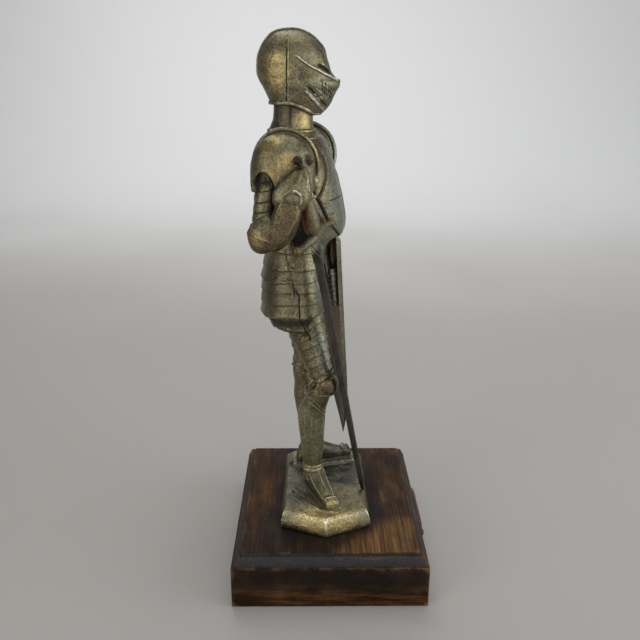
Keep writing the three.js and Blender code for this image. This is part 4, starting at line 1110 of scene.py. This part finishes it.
def edge_height(y):
    """How high the helmet's lower edge is, this far back."""
    for (y1, z1), (y2, z2) in zip(helmet_edge, helmet_edge[1:]):
        if y >= y2:
            return z1 + (z2 - z1) * (y1 - y) / (y1 - y2)
    return helmet_edge[-1][1]


helmet = loft(flow(skull_rows, 5), 98, axis=(0, 0, 1))
for (y1, z1), (y2, z2) in zip(helmet_edge, helmet_edge[1:]):
    near = [face for face in helmet.faces if face.calc_center_median().z < 250
            and y2 - 2.5 < face.calc_center_median().y < y1 + 2.5]
    slit_near(helmet, near, Vector((0, y1, z1)), Vector((0, z1 - z2, y2 - y1)).normalized(), (0,))
middles = {face: face.calc_center_median() for face in helmet.faces}
below = [face for face, middle in middles.items() if middle.z < edge_height(middle.y) - 0.02]
bmesh.ops.delete(helmet, geom=below, context="FACES")
helmet.normal_update()

# the rolled rim is drawn round the same edge
rolled = bmesh.new()
rim_wear = rolled.verts.layers.float.new("wear")
spot_of = rolled.verts.layers.float_vector.new("spot")
way_of = rolled.verts.layers.float_vector.new("way")
open_rim = open_edges(helmet)
match = {}
for old in [point for edge in open_rim for point in edge.verts]:
    if old not in match:
        match[old] = rolled.verts.new(old.co)
        match[old][spot_of] = old.co
        match[old][way_of] = Vector((old.normal.x, old.normal.y, 0)).normalized()
first = loop = [rolled.edges.new([match[end] for end in edge.verts]) for edge in open_rim]
ring = set(rolled.verts)
for k, (out, rise) in enumerate(rim_profile):
    if k:
        ring, loop = draw_out(rolled, loop)
    for point in ring:
        point.co = point[spot_of] + point[way_of] * out + Vector((0, 0, rise))
        point[rim_wear] = 0.4 if out > 0.9 else (-0.6 if out < -0.3 else 0.1)
bmesh.ops.bridge_loops(rolled, edges=first + loop)
face_out(rolled)
cast(rolled)
bmesh.ops.contextual_create(helmet, geom=open_rim)
face_out(helmet)

for side in (-1, 1):
    out = Vector((side, -0.45, 0.2))
    chase(helmet, other_side(sight, side), out, 2.5, -1.3)
    chase(helmet, other_side(sight_ridge, side), out, 1.6, 0.95, ends=0.02, shine=1)
    chase(helmet, other_side(visor_gap, side), out, 1.9, -0.75, ends=0.1)
    chase(helmet, other_side(visor_edge, side), out, 0.9, 0.45, ends=0.02)
    chase(helmet, other_side(chin_ridge, side), out, 2.1, 0.55, ends=0.05, shine=0.7)
    chase(helmet, other_side([(x, y + 0.75, z) for x, y, z in mould_seam], side), (side, 0, 0.1), 0.9, -0.4,
          ends=0)
    chase(helmet, other_side(mould_seam, side), (side, 0, 0.1), 0.8, 0.35, ends=0)
    for start, end, count in breath_rows:
        for k in range(count):
            spot = Vector(start).lerp(Vector(end), k / (count - 1))
            breath = other_side([spot, shifted(spot, y=-0.75, z=-1.35)], side)
            chase(helmet, breath, (side, -0.8, 0), 0.75, -0.5, reach=2.4, ends=0)
    press(helmet, (side * 16.4, 17.3, 259.2), 2.3, 0.45, sharp=3)
    press(helmet, (side * 16.2, 17.3, 263), 1.8, 0.4)
for x in (-2.1, -1.6, 1.6, 2.1):
    slit(helmet, everything(helmet), (x, 0, 0), (1, 0, 0))
helmet.normal_update()
comb_wear = helmet.verts.layers.float["wear"]
for point, way in [(point, point.normal.copy()) for point in helmet.verts]:
    turned = math.degrees(math.atan2(point.co.z - 262.4, point.co.y - 20.4))
    proud = smooth_step(-25, 0, turned) * smooth_step(156, 138, turned)
    if abs(point.co.x) < comb_half:
        point.co += way * comb_high * proud
        point[comb_wear] = 0.5 * proud
    elif abs(point.co.x) < comb_foot:
        point.co -= way * 0.35 * proud
        point[comb_wear] = -0.9 * proud
cast(helmet)


# The casting as one piece: old brass over grey metal, gold where it is rubbed, dark in its
# hollows, and copper brown on the right arm and knee. Some tints and wear marks are painted
# light: painted highlights, painted shadows, and painted light on the shaded left hand.

def aged_metal(name, body, hollow, rubbed, tints, gloss, age=1.0, lining=None):
    """Old cast metal: cloudy body, dark hollows, rubbed edges; tints are colours near places.
    A lining is the colour of the side that is turned to the knight."""
    metal = Finish(name)
    cloud = metal.grain(17, 4, rough=0.6)
    mottle = metal.grain(3.6, 5, rough=0.65, shift=0.3)
    speck = metal.grain(1.05, 3, rough=0.7, shift=0.7)
    pits = metal.node("ShaderNodeTexVoronoi", {"feature": "F1"}, {"Vector": metal.place, "Scale": 620},
                      output="Distance")
    clouded, mottled, specked = cloud - 0.5, mottle - 0.5, speck - 0.5
    colour = metal.mix(metal.ramp(cloud, 0.36, 0.64), *body)
    for shade, strength, places in tints:
        share = 0.0
        for spot, radius in places:
            off = metal.away([value / 1000 for value in shifted(spot, z=ground)]) * (1000 / radius)
            share = metal.ramp(off + mottled * 1.1 + clouded * 0.7, 0.6, 1.15, 1, 0).over(share)
        colour = metal.mix(share * strength, colour, shade)
    if lining:
        high_up = metal.ramp(metal.along("Z") + mottled * 0.03, 0.1, 0.15)
        colour = metal.mix(metal.ramp(metal.facing("Y"), 0.3, 0.6) * high_up * 0.85, colour, lining)
    colour = metal.mix(0.8, colour, metal.ramp(speck * 0.7 + mottle * 0.3, 0.32, 0.68, 0.4, 1.6), "MULTIPLY")
    colour = metal.mix(metal.ramp(mottle + clouded * 0.8, 0.5, 0.74) * 0.5, colour, hollow)
    wear = metal.node("ShaderNodeAttribute", {"attribute_name": "wear"}, output="Fac")
    open_air = metal.node("ShaderNodeAmbientOcclusion", {"samples": 8, "only_local": True},
                          {"Distance": 0.007}, output="AO")
    sunk = metal.ramp(open_air + mottled * 0.5, 0.3, 0.98, 1, 0) * age
    sunk = sunk.over(metal.ramp(wear, -0.75, -0.1, 1, 0))
    colour = metal.mix(sunk * 0.93, colour, hollow)
    rub = metal.ramp(wear + mottled * 1.3 + specked * 0.9, 0.2, 0.9)
    rub = rub.over(metal.ramp(metal.sharpness() + mottled * 0.09, 0.55, 0.64) * 0.6)
    colour = metal.mix(rub * 0.85, colour, rubbed)
    rough = metal.ramp(cloud * 0.5 + mottle * 0.3 + speck * 0.5 + sunk * 0.3 - rub * 0.15, 0.42, 0.9, *gloss)
    return metal.shade(colour, rough, 0.96 - sunk * 0.5, [(mottle, 0.36), (speck, 0.24), (pits, 0.08)])


join(knight, cast_base)
brass_tints_and_light = [((0.25, 0.262, 0.205), 0.85, [((0, -4, 192), 27), ((-6, -4, 150), 28), ((-20, -1, 104), 15),
                                             ((0, -8, 170), 20), ((-14, 6, 40), 17), ((40, 0, 200), 30)]),
               ((0.19, 0.175, 0.115), 0.8, [((0, -2, 250), 20)]),
               ((0.115, 0.1, 0.06), 0.8, [((-30, 34, 145), 20), ((-22, 26, 118), 12)]),
               ((0.33, 0.305, 0.19), 0.8, [((-19, 12, 50), 18), ((-14, 10, 26), 13)]),
               ((0.1, 0.1, 0.075), 0.85, [((24, -8, 8), 13), ((24, 4, 10), 12)]),
               ((0.085, 0.072, 0.045), 0.75, [((-8, 30, 237), 11)]),
               ((0.16, 0.122, 0.07), 0.8, [((-56, 24, 186), 12), ((-22, 19, 104), 12), ((-24, 0, 80), 10),
                                           ((-48, 16, 214), 9), ((-50, 34, 176), 12)]),
               # gold: painted highlights on the helmet, the shoulder and its arch, the elbow point and the
               # neck; gold-brown metal on the ground's two ends
               ((0.42, 0.33, 0.145), 0.75, [((-17, 34, 262), 13), ((-46.5, 31, 212), 7), ((-46, 24, 216), 8),
                                            ((-40, 33, 226), 7), ((-52, 40, 178), 5), ((-48, 2, -5), 22),
                                            ((-12, 14, 236), 8), ((-46, 36, 208), 7), ((-30, 10, 222), 7),
                                            ((48, 0, -5), 22)]),
               ((0.13, 0.11, 0.06), 0.6, [((-42, 39, 221), 12), ((-52, 40, 186), 8)]),
               # near-black: painted shadow under the shoulder arch, between the forearm and the trunk, and
               # under the forearm
               ((0.016, 0.015, 0.012), 0.92, [((-44, 38, 207), 5.5), ((-25, 17, 173), 8), ((-28, 15, 181), 6),
                                              ((-46, 20, 174), 5)]),
               # pale: painted light on the left hand and cuff, which lie in shade behind the shield
               ((0.4, 0.4, 0.32), 0.8, [((23, -2, 132), 17), ((24, 3, 154), 13)]),
               ((0.085, 0.085, 0.07), 0.8, [((6, 0, 0), 20), ((28, -16, 0), 15), ((10, 25, 0), 13),
                                            ((-8, 22, 0), 11), ((-24, 22, 0), 8)]),
               ((0.045, 0.045, 0.037), 0.75, [((-2, -13, 0), 8), ((10, -17, 0), 10),
                                              ((-40.8, 13, 217.8), 4)])]
cast_brass = aged_metal("cast_brass", ((0.15, 0.128, 0.07), (0.24, 0.215, 0.13)), (0.018, 0.016, 0.011),
                        (0.6, 0.565, 0.44), brass_tints_and_light, (0.22, 0.52))

cast_knight = settle(knight, "cast_knight", cast_brass, lift=ground, crease=38)
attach(cast_knight, "root")
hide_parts("knight_and_cast_base")


# Greatsword: cast on its own in dark gunmetal. A ridged two-edged blade with
# broad shoulders, ball-ended guard, bound grip and round pommel.

blade_length, blade_width, blade_thick = 180.4, 9.6, 2.8
guard_span, guard_radius, ball_radius = 45, 2.5, 2.6
grip_length, grip_radius, pommel_radius = 40, 3.1, 3
blade_start = pommel_radius + grip_length
guard_way = Vector((17.1, -9.25, 4.5))
guard_way = (guard_way - sword_way * guard_way.dot(sword_way)).normalized()
flat_way = sword_way.cross(guard_way).normalized()
shoulder_shape = [(-2, 1.22), (4, 1.2), (8, 1.17), (12, 1.12), (14.5, 0.8), (17, 0.3)]
grip_steps, grip_turns, guard_steps = 60, 17, 24


def on_sword(distance):
    """A spot on the sword's middle line, this far below the pommel."""
    return hilt_top + sword_way * distance


def blade_row(distance, share):
    thick = blade_thick / 2 * (0.55 + 0.45 * share)
    return [*on_sword(distance), blade_width / 2 * share, thick, thick, 1.25, 1.25]


sword = bmesh.new()
blade_rows = [blade_row(blade_start - 2, 1.02), blade_row(blade_start + blade_length * 0.5, 0.86),
              blade_row(blade_start + blade_length - 10, 0.62), blade_row(blade_start + blade_length, 0.3)]
blade = loft(flow(blade_rows, 30), 24, axis=sword_way, facing=flat_way)
turn_of, blade_wear = blade.verts.layers.float["turn"], blade.verts.layers.float["wear"]
for point in blade.verts:
    point.co += point.normal * 0.12 * lumps(point.co, 3.1)
    point[blade_wear] = 0.75 * (abs(math.sin(point[turn_of])) > 0.99)
join(sword, blade)
shoulder = loft([blade_row(blade_start + down, share) for down, share in shoulder_shape], 24,
                axis=sword_way, facing=flat_way)
for way in (-1, 1):
    for drop in (0, 3):
        vee = [on_sword(blade_start + down + drop) + guard_way * out + flat_way * way * 1.6
               for out, down in ((-4.6, 2), (0, 8.5), (4.6, 2))]
        chase(shoulder, vee, flat_way * way, 0.9, 0.35, ends=0)
join(sword, shoulder)
grip_rows = []
for k in range(grip_steps + 1):
    share = k / grip_steps
    thick = grip_radius * (0.5 + smooth_step(0.2, 0.78, share) - 0.7 * smooth_step(0.84, 1, share))
    thick *= 1 + 0.012 * math.sin(share * grip_turns * math.tau)
    grip_rows.append(oval(on_sword(blade_start * share), thick, thick))
join(sword, loft(grip_rows, 28, axis=sword_way, facing=flat_way))
join(sword, egg(shifted(hilt_top, 0, 1, 1), (pommel_radius * 0.84,) * 3))
join(sword, egg(on_sword(2.6), (2.3, 2.3, 1.1)))
guard_rows = []
for k in range(guard_steps + 1):
    share = 2 * k / guard_steps - 1
    spot = on_sword(blade_start - 1 - math.sin(share * math.pi) * 0.9)
    spot += guard_way * share * (guard_span / 2 - ball_radius)
    thick = guard_radius * (0.66 + 0.55 * swell(share, 0.34))
    guard_rows.append(oval(spot, thick, thick))
join(sword, loft(guard_rows, 24, facing=flat_way))
for row in (guard_rows[0], guard_rows[-1]):
    join(sword, egg(row[:3], (ball_radius,) * 3))

gunmetal_tints = [
    ((0.2, 0.175, 0.11), 0.88, [(guard_rows[k][:3], 7) for k in (3, 8, 12, 16, 21)]),
    ((0.17, 0.115, 0.036), 0.85, [(guard_rows[k][:3], 4) for k in (0, -1)]),
    ((0.19, 0.165, 0.1), 0.85, [(on_sword(24), 12), (on_sword(35), 8)]),
    ((0.19, 0.09, 0.042), 0.75, [(shifted(on_sword(down), -3, 3), 4) for down in (21, 26, 31, 35)])]
dark_gunmetal = aged_metal("dark_gunmetal", ((0.022, 0.02, 0.014), (0.055, 0.05, 0.036)),
                           (0.01, 0.009, 0.007), (0.27, 0.26, 0.21), gunmetal_tints, (0.36, 0.66))

gunmetal_sword = settle(sword, "gunmetal_sword", dark_gunmetal, lift=ground, crease=35)
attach(gunmetal_sword, "root")
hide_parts("greatsword")


# Shield: a bowed plate of brown gunmetal that narrows to a point, with a
# raised border and a middle ridge outside. It leans back against the body.

shield_foot, shield_turn = (27, -6.2, 21.4), 17
shield_height, shield_width, shield_thick = 143, 46, 1.8
shield_bulge, shield_lean, border_wide, border_high = 5, 8.8, 3, 0.9


def shield_half(share):
    """The half width as a share, from the point to the straight top."""
    return math.sin(min(1.0, share / 0.62) * math.pi / 2) ** 0.86


shield = bmesh.new()
bmesh.ops.create_grid(shield, x_segments=56, y_segments=120, size=0.5)
column_of = shield.verts.layers.float_vector.new("column")
shield_wear = shield.verts.layers.float.new("wear")
for point in shield.verts:
    point[column_of] = (point.co.x * 2, point.co.y + 0.5, 0)
for part in bmesh.ops.duplicate(shield, geom=everything(shield))["geom"]:
    if isinstance(part, bmesh.types.BMVert):
        part[column_of] = (*part[column_of][:2], 1)
        part.co.z = 1
bmesh.ops.bridge_loops(shield, edges=open_edges(shield))
for point in shield.verts:
    column, share, inside = point[column_of]
    half = max(shield_width / 2 * shield_half(share), 0.6)
    across = column * half
    bow = shield_bulge * (1 - (across / (shield_width / 2)) ** 2)
    edge_gap = min(half - abs(across), (1 - share) * shield_height)
    border = smooth_step(border_wide + 0.5, border_wide - 0.3, edge_gap) * smooth_step(-0.05, 0.5, edge_gap)
    middle = swell(across, 1.1) * smooth_step(0, 0.08, share) * smooth_step(1, 0.97, share)
    if inside > 0.5:
        off = shield_thick / 2 + 0.3 * border
    else:
        off = -shield_thick / 2 - border_high * max(border, middle * 0.9)
    off += 0.14 * lumps((across, share * 140, inside * 9), 5)
    off *= 0.25 + 0.75 * smooth_step(0, 0.2, share)
    point.co = (across, off - bow + shield_lean * share, share * shield_height)
    point[shield_wear] = 0.22 * smooth_step(1.2, 0.2, edge_gap)
rotate(shield, shield_turn, "Z")
move(shield, shield_foot)
face_out(shield)

brown_gunmetal = aged_metal("brown_gunmetal", ((0.11, 0.107, 0.07), (0.17, 0.165, 0.115)),
                            (0.02, 0.018, 0.013), (0.4, 0.38, 0.29),
                            [((0.1, 0.1, 0.075), 0.8, [((27, 2, 50), 34)])], (0.42, 0.64), age=0.5,
                            lining=(0.27, 0.15, 0.09))

leaning_shield = settle(shield, "leaning_shield", brown_gunmetal, lift=ground, crease=35)
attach(leaning_shield, "root")
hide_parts("shield")


# Stage: a plain pale sheet that lies flat under the plinth and sweeps up
# behind it, soft lights from the left, the front and above, and the camera.

sheet_start, sheet_bend, sheet_half, sheet_rise = -1600, 1100, 2600, 2400
bend_radius, bend_steps = 550, 14

sheet = bmesh.new()
bmesh.ops.create_grid(sheet, x_segments=1, y_segments=1, size=1)
for corner in sheet.verts:
    corner.co = (sheet_start if corner.co.x < 0 else sheet_bend, corner.co.y * sheet_half, -0.2)
edges = [edge for edge in sheet.edges if all(end.co.x > 0 for end in edge.verts)]
for k in range(1, bend_steps + 2):
    ring, edges = draw_out(sheet, edges)
    bend = math.radians(90 * min(k, bend_steps) / bend_steps)
    for point in ring:
        point.co.x = sheet_bend + bend_radius * math.sin(bend)
        point.co.z = bend_radius * (1 - math.cos(bend)) + sheet_rise * (k > bend_steps)

pale = Finish("pale_sheet")
rise = pale.ramp(pale.along("X") + (pale.grain(420, 2) - 0.5) * 0.3, 0.35, 1.45)
greys = pale.mix(rise, (0.36, 0.345, 0.325), (0.66, 0.66, 0.66))
pale_sheet = pale.shade(greys, 0.7, 0.0, [(pale.grain(3.5, 3), 0.15)])
backdrop = settle(sheet, "backdrop", pale_sheet, crease=180)


def aimed(spot, way):
    """Stands at a spot and looks along a way."""
    return Matrix.Translation(spot) @ Vector(way).to_track_quat("-Z", "Y").to_matrix().to_4x4()


def soft_light(name, spot, aim, size, power, colour=(1, 1, 1)):
    data = bpy.data.lights.new(name, "AREA")
    data.shape, data.size, data.energy, data.color = "SQUARE", size, power, colour
    light = bpy.data.objects.new(name, data)
    light.matrix_world = aimed(spot, Vector(aim) - Vector(spot))
    bpy.context.scene.collection.objects.link(light)


soft_light("left_back", (-0.85, 0.95, 0.5), (0, 0, 0.2), 0.6, 5, (1, 0.98, 0.94))
soft_light("left_front", (-1.5, -0.35, 0.75), (0, 0, 0.15), 1.1, 6)
soft_light("front", (-0.35, -1.3, 0.4), (0, 0, 0.15), 1.3, 14, (0.95, 0.98, 1))
soft_light("above", (0.25, 0.0, 1.5), (0.15, 0, 0), 1.3, 9)
soft_light("on_sheet", (1.0, 0.3, 1.5), (1.6, -0.2, 0.9), 0.9, 11)

world = bpy.data.worlds.new("studio")
world.use_nodes = True
world.node_tree.nodes["Background"].inputs["Color"].default_value = (0.8, 0.81, 0.82, 1)
world.node_tree.nodes["Background"].inputs["Strength"].default_value = 0.28
bpy.context.scene.world = world
bpy.context.scene.view_settings.view_transform = "Standard"

view_spot, view_yaw, view_pitch, view_roll = (-0.42994, 0.01117, 0.30836), -0.679, -18.89, 0.238
lens = bpy.data.cameras.new("view")
lens.lens, lens.sensor_width, lens.sensor_fit = 40.5, 36, "AUTO"
lens.clip_start, lens.clip_end = 0.01, 20
camera = bpy.data.objects.new("view", lens)
yaw, pitch, roll = (math.radians(angle) for angle in (view_yaw, view_pitch, view_roll))
looking = (math.cos(pitch) * math.cos(yaw), math.cos(pitch) * math.sin(yaw), math.sin(pitch))
camera.matrix_world = aimed(view_spot, looking) @ Matrix.Rotation(roll, 4, "Z")
bpy.context.scene.collection.objects.link(camera)
bpy.context.scene.camera = camera
